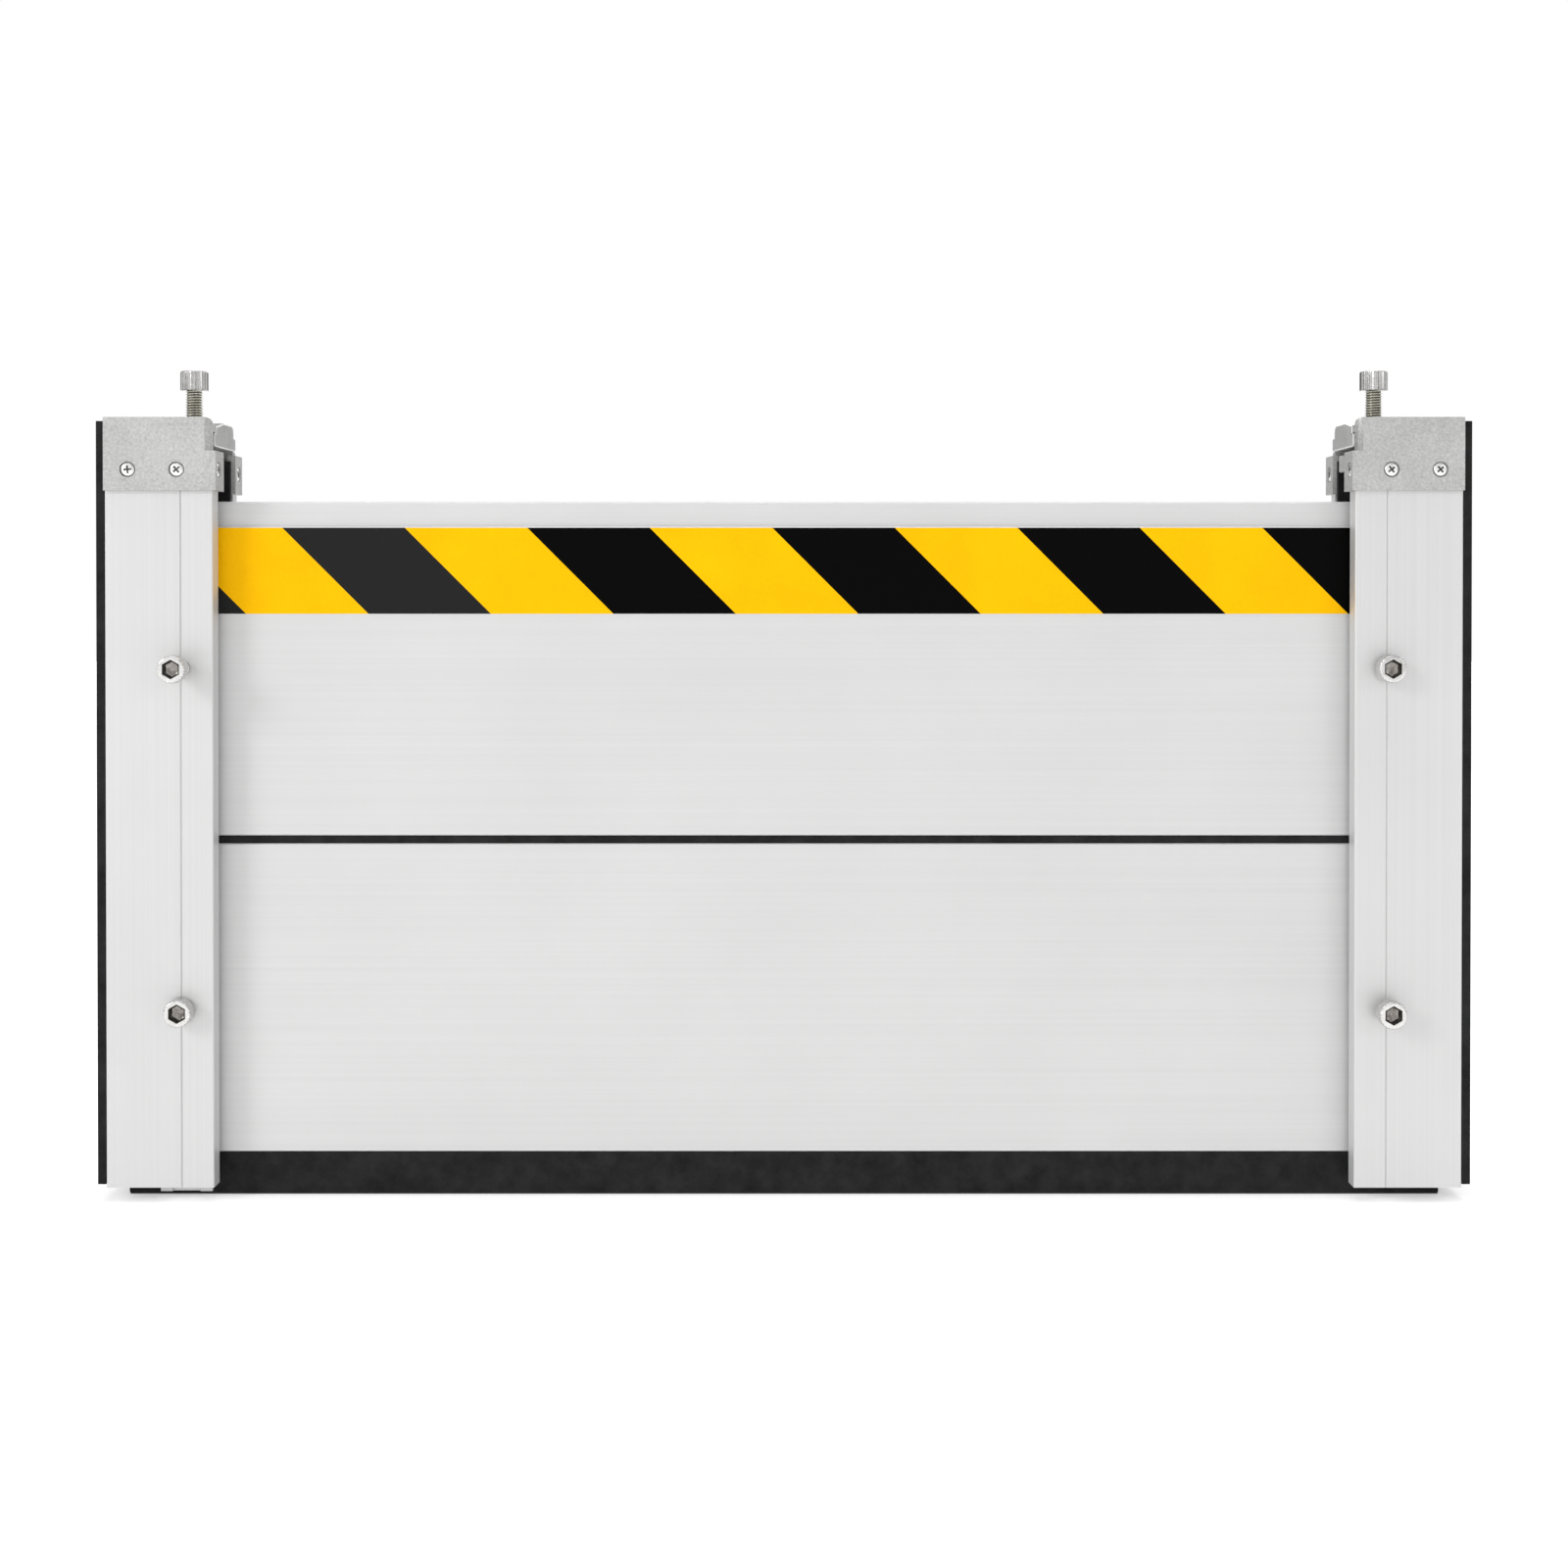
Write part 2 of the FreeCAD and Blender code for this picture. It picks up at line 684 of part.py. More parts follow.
def cross_screw(axis, point, inwards, length):
    """A small cross-recessed screw whose head starts at a point and faces outwards."""
    x, y, z = point
    shift = {"x": 0, "y": 1, "z": 2}[axis]

    def along(distance):
        spot = [x, y, z]
        spot[shift] = f"{spot[shift]} + ({inwards}) * ({distance})"
        return spot

    def bar(start, stop, radius):
        low, high = (start, stop) if inwards > 0 else (stop, start)
        return rod(axis, *along(low), radius, f"({inwards}) * (({high}) - ({low}))")

    head = bar("0", "cap_screw_head_height", "cap_screw_head_radius")
    shank = bar("cap_screw_head_height", length, "cap_screw_radius")
    slots = []
    for wide, tall in (("cross_length", "cross_width"), ("cross_width", "cross_length")):
        spans = [(f"{name} - {size} / 2", f"{name} + {size} / 2")
                 for name, size in zip((x if axis == "y" else y, z), (wide, tall))]
        ends = [along("0")[shift], along("cross_depth")[shift]]
        span = tuple(ends if inwards > 0 else reversed(ends))
        if axis == "y":
            slots.append(block(spans[0], span, spans[1]))
        else:
            slots.append(block(span, spans[0], spans[1]))
    return cut(several("Part::MultiFuse", [head, shank]), slots)


def build_caps():
    """Cast caps on the posts: a skirt, hooks behind the flanges and the carriage's guides."""
    skirt = ("skirt_low", "ledge_top")
    ledge = ("post_top", "ledge_top")
    upper = ("ledge_top", "cap_top")
    lip_low = "shoulder + lip_gap"
    hook_front = "0 - (panel_half) - hook_gap"
    hook_rear = "slot_rear - rear_hook_depth"
    inset = "mouth + rear_plate_inset"
    solids = [
        block(("cap_inner", "wall_face"), ("cap_front", "post_front"), skirt),
        block(("cap_inner", "mouth"), ("cap_front", hook_front), skirt),
        block(("cap_inner", "mouth + front_hook_reach"), ("slot_front", hook_front), skirt),
        block(("cap_inner", "wall_face"), ("post_rear", "cap_rear"), skirt),
        block(("cap_inner", "mouth"), (hook_rear, "cap_rear"), skirt),
        block(("cap_inner", "mouth + rear_hook_reach"), (hook_rear, "slot_rear"), skirt),
        block(("cap_inner", "wall_face"), ("cap_front", "slot_front"), ledge),
        block(("cap_inner", "wall_face"), ("slot_rear", "cap_rear"), ledge),
        block(("wall_face - cap_side", "wall_face"), ("cap_front", "cap_rear"),
              ("post_top", "cap_top")),
        block(("mouth", "wall_face"), ("plate_back", "plate_back + lip_reach"),
              (lip_low, f"{lip_low} + lip_thickness")),
        block(("mouth", "wall_face"), ("slot_rear", "rear_plate_front"),
              ("post_top", "carriage_low - carriage_gap")),
        block((inset, "wall_face"), ("rear_plate_front", "cap_rear"), upper),
        block((inset, "wall_face"),
              ("rear_plate_front - carriage_rear_flange", "rear_plate_front"),
              ("shoulder + carriage_gap", "cap_top")),
    ]
    plate = block(("mouth", "wall_face"), ("cap_front", "plate_back"), upper)
    doc.recompute()
    rounding = doc.addObject("Part::Fillet", "Rounding")
    rounding.Base = plate
    radius = sheet.get("cap_rounding")
    rounding.Edges = [(number, radius, radius) for number in mouth_edges(plate.Shape)]
    solids.append(rounding)

    recesses, screws = [], []
    spots = [("y", x, y, way)
             for x in ("mouth + cap_screw_inner", "wall_face - cap_screw_outer")
             for y, way in (("cap_front", 1), ("cap_rear", -1))]
    spots += [("x", "cap_inner", y, 1)
              for y in ("post_front + cheek_screw_inset", "post_rear - cheek_screw_inset")]
    for axis, x, y, way in spots:
        for radius, depth in (
            ("cap_screw_recess", "cap_screw_head_height"),
            ("cap_screw_hole", "cap_skin"),
        ):
            start = y if way > 0 else f"{y} - {depth}"
            recesses.append(rod(axis, x, start, "cap_screw_z", radius, depth))
        length = {"cap_front": "cap_screw_length", "cap_rear": "rear_screw_length"}.get(
            y, "cheek_screw_length"
        )
        screws.append(cross_screw(axis, (x, y, "cap_screw_z"), way, length))
    both_sides(cut(several("Part::MultiFuse", solids), recesses), "cap")
    both_sides(several("Part::Compound", screws), "cap_screws")


def mouth_edges(shape):
    """The numbers of the front plate's two inner edges: the upright one and the top one."""
    box = shape.BoundBox
    found = []
    for number, edge in enumerate(shape.Edges, start=1):
        span = edge.BoundBox
        inner = span.XMax < box.XMin + 0.01
        upright = span.YMax < box.YMin + 0.01
        across = span.ZMin > box.ZMax - 0.01
        if inner and (upright or across):
            found.append(number)
    return found


def build_carriages():
    """Blocks that slide into the caps and carry the press screws."""
    rear_step = "carriage_rear - carriage_rear_flange"
    front_step = "plate_back + lip_reach + carriage_gap"
    crown = "carriage_low + carriage_height"
    section = [
        ("carriage_front", "carriage_low"),
        ("carriage_rear", "carriage_low"),
        ("carriage_rear", "shoulder"),
        (rear_step, "shoulder"),
        (rear_step, f"{crown} - carriage_rounding"),
        (f"{rear_step} - carriage_rounding * (1 - cos(45))",
         f"{crown} - carriage_rounding * (1 - cos(45))"),
        (f"{rear_step} - carriage_rounding", crown),
        (f"{front_step} + carriage_slope", crown),
        (front_step, f"{crown} - carriage_slope_drop"),
        (front_step, "shoulder"),
        ("carriage_front", "shoulder"),
    ]
    length = "post_width + carriage_proud - cap_side - carriage_end_gap"
    body = extruded("YZ_Plane", [section], length)
    place(body, x="mouth - carriage_proud")
    tapped = rod("z", "press_x", "0", "carriage_low - cut_lead", "thread_radius + thread_gap",
                 "carriage_height + 2 * cut_lead")
    both_sides(cut(body, [tapped]), "carriage")


def build_press_feet():
    """Plates under the press screws that push the panels down, bored for the screws' pins."""
    half = "foot_width / 2"
    low = "foot_top - foot_thickness"
    section = [
        (f"0 - {half} + foot_bevel", low),
        (f"{half} - foot_bevel", low),
        (half, f"{low} + foot_bevel"),
        (half, "foot_top"),
        (f"0 - {half}", "foot_top"),
        (f"0 - {half}", f"{low} + foot_bevel"),
    ]
    for side in ("right", "left"):
        foot = extruded("YZ_Plane", [section], "foot_length")
        place(foot, x=f"mouth + {side}_foot_inset")
        bore = rod("z", "press_x", "0", "foot_top - pin_length - pin_gap",
                   "pin_radius + pin_gap", "pin_length + pin_gap + cut_lead")
        bored = cut(foot, [bore])
        node(bored if side == "right" else mirrored(bored), f"{side}_press_foot")


def build_press_screws():
    """Long screws in the carriages, turned down at the end to swivel in the feet."""
    end = "foot_top - pin_length - (head_under)"
    shoulder = "foot_top + pin_gap - (head_under)"
    tip = [
        ("0", end),
        ("pin_radius", end),
        ("pin_radius", shoulder),
        ("thread_radius - thread_lead", shoulder),
        ("thread_radius", f"{shoulder} + thread_lead"),
    ]
    for side, way in (("right", ""), ("left", "0 - ")):
        screw = socket_screw("press_head_height", tip)
        node(place(screw, x=f"{way}(press_x)", z="head_under"), f"{side}_press_screw")


def check_document():
    """Stop if any object failed or any sub-part has no valid solid."""
    for thing in doc.Objects:
        if "Invalid" in thing.State or "Error" in thing.State:
            raise RuntimeError(f"{thing.Label} did not build: {thing.State}")
    for thing in nodes:
        shape = thing.Shape
        if shape.isNull() or not shape.isValid() or not shape.Solids:
            raise RuntimeError(f"{thing.Label} has no valid solid")


def write_parts():
    """Write each sub-part to a STEP file under its own name."""
    os.makedirs("parts", exist_ok=True)
    for thing in nodes:
        thing.Shape.exportStep(f"parts/{thing.Label}.step")
        print(f"{thing.Label}: {thing.Shape.Volume / 1000:.2f} cm3")


fill_sheet()
build_posts()
build_wall_seals()
build_slot_seals()
build_panels()
build_panel_seals()
build_tape()
build_press_bars()
build_side_screws()
build_caps()
build_carriages()
build_press_feet()
build_press_screws()
doc.recompute()
check_document()
write_parts()
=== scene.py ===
"""Looks of a demountable flood barrier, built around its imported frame.

Two hollow aluminium panels stand between two wall posts. Each post has a cast cap with a
sliding clamp and a press screw on top, two clamp screws in front and rubber seals.
"""

import logging
import math
from dataclasses import dataclass
from enum import Enum
from typing import Callable, Optional, Sequence, Union

import bmesh
import bpy
from mathutils import Matrix, Vector


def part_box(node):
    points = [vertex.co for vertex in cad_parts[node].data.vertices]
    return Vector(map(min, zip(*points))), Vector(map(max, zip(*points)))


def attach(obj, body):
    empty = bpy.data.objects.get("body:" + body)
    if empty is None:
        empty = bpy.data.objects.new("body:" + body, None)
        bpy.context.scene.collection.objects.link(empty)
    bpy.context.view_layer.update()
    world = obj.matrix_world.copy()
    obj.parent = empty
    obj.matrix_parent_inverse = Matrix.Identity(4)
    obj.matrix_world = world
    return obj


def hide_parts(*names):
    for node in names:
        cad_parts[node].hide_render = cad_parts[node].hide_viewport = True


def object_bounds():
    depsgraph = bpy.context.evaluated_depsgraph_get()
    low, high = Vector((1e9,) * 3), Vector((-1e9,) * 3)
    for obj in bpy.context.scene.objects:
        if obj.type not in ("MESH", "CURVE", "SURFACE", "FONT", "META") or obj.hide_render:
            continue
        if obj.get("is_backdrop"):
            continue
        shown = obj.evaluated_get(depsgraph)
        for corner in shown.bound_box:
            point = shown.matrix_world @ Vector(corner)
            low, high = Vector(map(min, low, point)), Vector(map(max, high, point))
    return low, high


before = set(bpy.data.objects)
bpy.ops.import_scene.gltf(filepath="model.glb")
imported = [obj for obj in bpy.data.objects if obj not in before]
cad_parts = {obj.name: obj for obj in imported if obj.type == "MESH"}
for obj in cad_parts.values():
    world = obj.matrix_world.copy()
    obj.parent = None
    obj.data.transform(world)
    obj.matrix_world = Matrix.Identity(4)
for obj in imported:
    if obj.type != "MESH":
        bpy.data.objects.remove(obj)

MM = 0.001
log = logging.getLogger("flood_barrier")

Colour = tuple[float, float, float, float]
Input = Union[float, Sequence[float], "Signal"]
# A radius, from the angle round the axis and the radius so far.
Reach = Callable[[float, float], float]


def grey(level: float) -> Colour:
    """A neutral colour of one level."""
    return (level, level, level, 1.0)


class Side(Enum):
    """The end of the barrier that a piece belongs to."""

    LEFT = "left"
    RIGHT = "right"


class Level(Enum):
    """The height of a clamp screw or a panel."""

    LOWER = "lower"
    UPPER = "upper"


class Grain(Enum):
    """The way that an extrusion's fine lines run, as stretches of its noise."""

    ALONG_X = (1.2, 520.0, 520.0)
    ALONG_Z = (520.0, 520.0, 1.2)


# ---------------------------------------------------------------------------
# Shader networks
# ---------------------------------------------------------------------------


class Signal:
    """One output of a shader node; arithmetic on it adds Math nodes."""

    def __init__(self, network: "Network", socket: bpy.types.NodeSocket) -> None:
        """Keep the network that the socket belongs to."""
        self.network = network
        self.socket = socket

    def _math(self, operation: str, *values: Input) -> "Signal":
        """The result of a Math node on these values."""
        node = self.network.node(
            "ShaderNodeMath", {"operation": operation}, dict(enumerate(values))
        )
        return self.network.out(node)

    def __add__(self, other: Input) -> "Signal":
        """The sum."""
        return self._math("ADD", self, other)

    __radd__ = __add__

    def __sub__(self, other: Input) -> "Signal":
        """The difference."""
        return self._math("SUBTRACT", self, other)

    def __rsub__(self, other: Input) -> "Signal":
        """The difference, the other way round."""
        return self._math("SUBTRACT", other, self)

    def __mul__(self, other: Input) -> "Signal":
        """The product."""
        return self._math("MULTIPLY", self, other)

    __rmul__ = __mul__

    def __truediv__(self, other: Input) -> "Signal":
        """The quotient."""
        return self._math("DIVIDE", self, other)

    def fraction(self) -> "Signal":
        """What is left after the whole number."""
        return self._math("FRACT", self)

    def below(self, limit: Input) -> "Signal":
        """One where the signal is below a limit, and zero elsewhere."""
        return self._math("LESS_THAN", self, limit)


class Network:
    """The nodes of one material or world."""

    def __init__(self, owner: Union[bpy.types.Material, bpy.types.World]) -> None:
        """Start with no nodes.

        Args:
            owner: The material or world.
        """
        self.owner = owner
        owner.use_nodes = True
        self.tree = owner.node_tree
        self.tree.nodes.clear()

    @classmethod
    def material(cls, name: str) -> "Network":
        """The network of a new material."""
        return cls(bpy.data.materials.new(name))

    def node(
        self,
        kind: str,
        settings: Optional[dict[str, object]] = None,
        inputs: Optional[dict[Union[str, int], Input]] = None,
    ) -> bpy.types.Node:
        """Add a node.

        Args:
            kind: The node's type.
            settings: Its properties, set before its sockets; "stops" fills a ramp.
            inputs: Values or signals for its sockets, by name or number.

        Returns:
            The new node.
        """
        node = self.tree.nodes.new(kind)
        for name, value in (settings or {}).items():
            if name == "stops":
                self._fill_ramp(node.color_ramp, value)
            else:
                setattr(node, name, value)
        for key, value in (inputs or {}).items():
            if isinstance(value, Signal):
                self.tree.links.new(value.socket, node.inputs[key])
            else:
                node.inputs[key].default_value = value
        return node

    @staticmethod
    def _fill_ramp(ramp: bpy.types.ColorRamp, stops: Sequence[tuple[float, Colour]]) -> None:
        """Give a colour ramp its stops.

        Args:
            ramp: The ramp to fill.
            stops: Positions and colours.
        """
        while len(ramp.elements) < len(stops):
            ramp.elements.new(1.0)
        for element, (position, colour) in zip(ramp.elements, stops):
            element.position = position
            element.color = colour

    def out(self, node: bpy.types.Node, name: Union[str, int] = 0) -> Signal:
        """One output of a node as a signal."""
        return Signal(self, node.outputs[name])

    def place(self, stretch: Sequence[float] = (1.0, 1.0, 1.0)) -> Signal:
        """The point on the object, stretched along each axis.

        Args:
            stretch: How far, along each axis.

        Returns:
            The point.
        """
        point = self.out(self.node("ShaderNodeTexCoord"), "Object")
        mapping = self.node("ShaderNodeMapping", None, {"Vector": point, "Scale": stretch})
        return self.out(mapping)

    def noise(self, point: Signal, scale: float, detail: float, roughness: float = 0.5) -> Signal:
        """Noise from 0 to 1 at a point.

        Args:
            point: Where the noise is taken.
            scale: How fine the noise is.
            detail: Its finer layers.
            roughness: The share of the finer layers.

        Returns:
            The noise.
        """
        node = self.node(
            "ShaderNodeTexNoise",
            None,
            {"Vector": point, "Scale": scale, "Detail": detail, "Roughness": roughness},
        )
        return self.out(node, 0)

    def ramp(self, factor: Signal, stops: Sequence[tuple[float, Colour]]) -> Signal:
        """A colour chosen by a signal."""
        return self.out(self.node("ShaderNodeValToRGB", {"stops": stops}, {0: factor}))

    def mix(self, factor: Input, first: Input, second: Input, blend: str = "MIX") -> Signal:
        """Two colours mixed by a factor.

        Args:
            factor: From 0, the first, to 1, the second.
            first: The first colour.
            second: The second colour.
            blend: How they are mixed.

        Returns:
            The mixed colour.
        """
        node = self.node(
            "ShaderNodeMix",
            {"data_type": "RGBA", "blend_type": blend},
            {0: factor, 6: first, 7: second},
        )
        return self.out(node, 2)

    def bump(self, height: Signal, depth: float, strength: float = 1.0) -> Signal:
        """A normal tilted by a height of at most this depth in metres."""
        node = self.node(
            "ShaderNodeBump", None, {"Height": height, "Distance": depth, "Strength": strength}
        )
        return self.out(node)

    def finish(self, inputs: dict[str, Input]) -> bpy.types.Material:
        """Close the network with a Principled shader.

        Args:
            inputs: Values or signals for the shader's sockets.

        Returns:
            The finished material.
        """
        shader = self.node("ShaderNodeBsdfPrincipled", None, inputs)
        self.node("ShaderNodeOutputMaterial", None, {"Surface": self.out(shader)})
        return self.owner


# ---------------------------------------------------------------------------
# Finishes
# ---------------------------------------------------------------------------


@dataclass(frozen=True)
class SatinExtrusion:
    """Anodised aluminium with the fine die lines of an extrusion."""

    name: str
    grain: Grain
    level: float = 0.615
    spread: float = 0.03
    metal: float = 0.45
    roughness: float = 0.50
    line_depth: float = 0.012 * MM

    def make(self) -> bpy.types.Material:
        """The material.

        Returns:
            The material.
        """
        net = Network.material(self.name)
        lines = net.noise(net.place(self.grain.value), 1.0, 5.0, 0.62)
        clouds = net.noise(net.place(), 9.0, 3.0)
        specks = net.noise(net.place(), 2600.0, 2.0)
        tone = lines * 0.55 + clouds * 0.35 + specks * 0.10
        colour = net.ramp(
            tone,
            [(0.32, grey(self.level - self.spread)), (0.68, grey(self.level + self.spread))],
        )
        return net.finish(
            {
                "Base Color": colour,
                "Metallic": self.metal,
                "Roughness": self.roughness + (lines - 0.5) * 0.22 + (specks - 0.5) * 0.06,
                "Normal": net.bump(lines * 0.8 + specks * 0.2, self.line_depth),
            }
        )


@dataclass(frozen=True)
class BareCasting:
    """Blasted die casting: blotches of a few millimetres over a fine grain."""

    name: str = "bare_casting"
    dark: Colour = (0.33, 0.33, 0.325, 1.0)
    light: Colour = (0.60, 0.60, 0.59, 1.0)
    blotch_scale: float = 620.0
    grain_scale: float = 1900.0
    roughness: float = 0.52
    grain_depth: float = 0.08 * MM

    def make(self) -> bpy.types.Material:
        """The material.

        Returns:
            The material.
        """
        net = Network.material(self.name)
        point = net.place()
        blotches = net.noise(point, self.blotch_scale, 5.0, 0.68)
        grain = net.noise(point, self.grain_scale, 4.0, 0.7)
        flow = net.noise(point, 38.0, 2.0)
        tone = blotches * 0.5 + grain * 0.35 + flow * 0.15
        return net.finish(
            {
                "Base Color": net.ramp(tone, [(0.36, self.dark), (0.64, self.light)]),
                "Metallic": 0.7,
                "Roughness": self.roughness + (blotches - 0.5) * 0.35,
                "Normal": net.bump(grain * 0.6 + blotches * 0.4, self.grain_depth, 0.8),
            }
        )


@dataclass(frozen=True)
class TurnedSteel:
    """Stainless steel, with fine turning marks and a few stains."""

    name: str
    clean: Colour
    stained: Colour
    roughness: float = 0.24
    mark_scale: float = 1500.0

    def make(self) -> bpy.types.Material:
        """The material.

        Returns:
            The material.
        """
        net = Network.material(self.name)
        point = net.place()
        marks = net.noise(net.place((1.0, 1.0, 6.0)), self.mark_scale, 3.0, 0.6)
        stains = net.noise(point, 260.0, 4.0, 0.7)
        return net.finish(
            {
                "Base Color": net.ramp(stains, [(0.38, self.stained), (0.62, self.clean)]),
                "Metallic": 1.0,
                "Roughness": self.roughness + (marks - 0.5) * 0.18 + (stains - 0.5) * 0.14,
                "Normal": net.bump(marks, 0.012 * MM, 0.7),
            }
        )


@dataclass(frozen=True)
class MattRubber:
    """Black rubber with a dusty bloom and a fine skin."""

    name: str = "black_rubber"
    dark: Colour = (0.006, 0.006, 0.006, 1.0)
    bloom: Colour = (0.026, 0.026, 0.026, 1.0)
    roughness: float = 0.70
    gloss: float = 0.10

    def make(self) -> bpy.types.Material:
        """The material.

        Returns:
            The material.
        """
        net = Network.material(self.name)
        point = net.place()
        dust = net.noise(point, 70.0, 5.0, 0.65)
        skin = net.noise(point, 1900.0, 3.0, 0.6)
        tone = dust * 0.65 + skin * 0.35
        return net.finish(
            {
                "Base Color": net.ramp(tone, [(0.34, self.dark), (0.70, self.bloom)]),
                "Roughness": self.roughness + (dust - 0.5) * 0.2,
                "Specular IOR Level": self.gloss,
                "Normal": net.bump(skin, 0.03 * MM, 0.8),
            }
        )


@dataclass(frozen=True)
class MouldedNylon:
    """Black moulded nylon with a spark-eroded grain."""

    name: str = "moulded_nylon"
    base: Colour = (0.022, 0.022, 0.023, 1.0)
    worn: Colour = (0.045, 0.045, 0.046, 1.0)

    def make(self) -> bpy.types.Material:
        """The material.

        Returns:
            The material.
        """
        net = Network.material(self.name)
        point = net.place()
        grain = net.noise(point, 1400.0, 3.0)
        wear = net.noise(point, 120.0, 4.0, 0.6)
        return net.finish(
            {
                "Base Color": net.ramp(wear, [(0.40, self.base), (0.72, self.worn)]),
                "Roughness": 0.48 + (grain - 0.5) * 0.2,
                "Normal": net.bump(grain, 0.02 * MM),
            }
        )


@dataclass(frozen=True)
class WarningTape:
    """Yellow tape with black bars that lean down to the right, with a painted sheen that turns
    the black grey left of a slanted line.
    """

    top: float
    name: str = "warning_tape"
    repeat: float = 142.45 * MM
    start: float = 291.7 * MM
    yellow: Colour = (0.93, 0.50, 0.001, 1.0)
    deep_yellow: Colour = (0.88, 0.455, 0.001, 1.0)
    black: Colour = (0.0008, 0.0008, 0.0008, 1.0)
    sheen_grey: Colour = (0.017, 0.017, 0.017, 1.0)
    sheen_edge: float = -0.165
    gloss: float = 0.04

    def make(self) -> bpy.types.Material:
        """The material.

        Returns:
            The material.
        """
        net = Network.material(self.name)
        point = net.out(net.node("ShaderNodeTexCoord"), "Object")
        parts = net.node("ShaderNodeSeparateXYZ", None, {0: point})
        across, height = net.out(parts, "X"), net.out(parts, "Z")
        slanted = across - (self.top - height)
        bars = ((slanted + self.start) / self.repeat).fraction().below(0.5)
        print_noise = net.noise(net.place(), 420.0, 4.0, 0.6)
        film = net.noise(net.place(), 32.0, 3.0)
        tone = print_noise * 0.4 + film * 0.6
        yellow = net.ramp(tone, [(0.35, self.deep_yellow), (0.62, self.yellow)])
        # Painted sheen: left of the slanted edge the black bars are a lighter grey.
        black = net.mix((slanted - self.sheen_edge).below(0.0), self.black, self.sheen_grey)
        return net.finish(
            {
                "Base Color": net.mix(bars, yellow, black),
                "Roughness": 0.42 + (print_noise - 0.5) * 0.12,
                "Specular IOR Level": self.gloss,
                "Normal": net.bump(film * 0.7 + print_noise * 0.3, 0.05 * MM, 0.5),
            }
        )


@dataclass(frozen=True)
class PaleFloor:
    """The plain floor of the studio, with a painted glow: dim near the barrier, full white far
    off.
    """

    name: str = "pale_floor"
    level: float = 0.92
    near_glow: float = 0.38
    far_glow: float = 1.0
    reach: float = 9.0

    def make(self) -> bpy.types.Material:
        """The material.

        Returns:
            The material.
        """
        net = Network.material(self.name)
        clouds = net.noise(net.place(), 0.8, 2.0)
        # Painted light: the floor glows by emission, weaker near the middle and full white
        # towards the horizon so that it merges with the white surround.
        near = net.node(
            "ShaderNodeTexGradient",
            {"gradient_type": "SPHERICAL"},
            {"Vector": net.place((1 / self.reach,) * 3)},
        )
        glow = [(0.0, grey(self.far_glow)), (0.8, grey(self.near_glow))]
        return net.finish(
            {
                "Base Color": net.ramp(
                    clouds, [(0.0, grey(self.level - 0.01)), (1.0, grey(self.level + 0.01))]
                ),
                "Roughness": 0.85,
                "Emission Color": net.ramp(net.out(near, "Fac"), glow),
                "Emission Strength": 1.0,
            }
        )


class Finishes:
    """Every material of the barrier, made once."""

    def __init__(self) -> None:
        """Make the materials from their finishes."""
        tape_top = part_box("hazard_tape")[1].z
        self.post = SatinExtrusion("post_aluminium", Grain.ALONG_Z).make()
        self.panel = SatinExtrusion("panel_aluminium", Grain.ALONG_X).make()
        self.casting = BareCasting().make()
        self.block = BareCasting(
            "smooth_casting", (0.50, 0.50, 0.495, 1.0), (0.62, 0.62, 0.615, 1.0), 90.0, 1600.0,
            0.34, 0.015 * MM
        ).make()
        self.steel = TurnedSteel(
            "stainless_steel", (0.70, 0.695, 0.685, 1.0), (0.60, 0.59, 0.575, 1.0)
        ).make()
        self.thread = TurnedSteel(
            "thread_steel", (0.80, 0.79, 0.74, 1.0), (0.70, 0.685, 0.61, 1.0), 0.22
        ).make()
        self.small_screw = TurnedSteel(
            "bright_screw", (0.84, 0.84, 0.84, 1.0), (0.74, 0.74, 0.735, 1.0), 0.30
        ).make()
        # Painted shade: the cross recess of the small screws is dark grey steel, standing in for
        # the shade inside the recess.
        self.recess = TurnedSteel(
            "recess_painted_shade", (0.16, 0.16, 0.155, 1.0), (0.07, 0.07, 0.07, 1.0), 0.42
        ).make()
        # Painted shade: the socket walls are near black and the socket floor a dark steel,
        # standing in for the shade inside the hexagon socket.
        self.socket = TurnedSteel(
            "socket_walls_painted_shade", (0.05, 0.046, 0.042, 1.0), (0.02, 0.018, 0.016, 1.0), 0.40
        ).make()
        self.socket_floor_painted_shade = TurnedSteel(
            "socket_floor_painted_shade", (0.40, 0.375, 0.35, 1.0), (0.17, 0.155, 0.14, 1.0), 0.34
        ).make()
        # Painted shade: the core that shows in the thread's roots is a dark steel, so the grooves
        # read as shaded.
        self.core = TurnedSteel(
            "thread_roots_painted_shade", (0.13, 0.125, 0.105, 1.0), (0.08, 0.075, 0.06, 1.0), 0.40
        ).make()
        self.press_head = TurnedSteel(
            "ribbed_steel", (0.60, 0.595, 0.585, 1.0), (0.50, 0.495, 0.485, 1.0), 0.19
        ).make()
        self.rubber = MattRubber().make()
        self.nylon = MouldedNylon().make()
        self.tape = WarningTape(tape_top).make()

    def socket_screw(self, head: bpy.types.Material) -> list[bpy.types.Material]:
        """The materials of a socket screw, in the order that SocketScrew.build uses."""
        return [head, self.thread, self.socket, self.socket_floor_painted_shade, self.core]


# ---------------------------------------------------------------------------
# Shapes
# ---------------------------------------------------------------------------


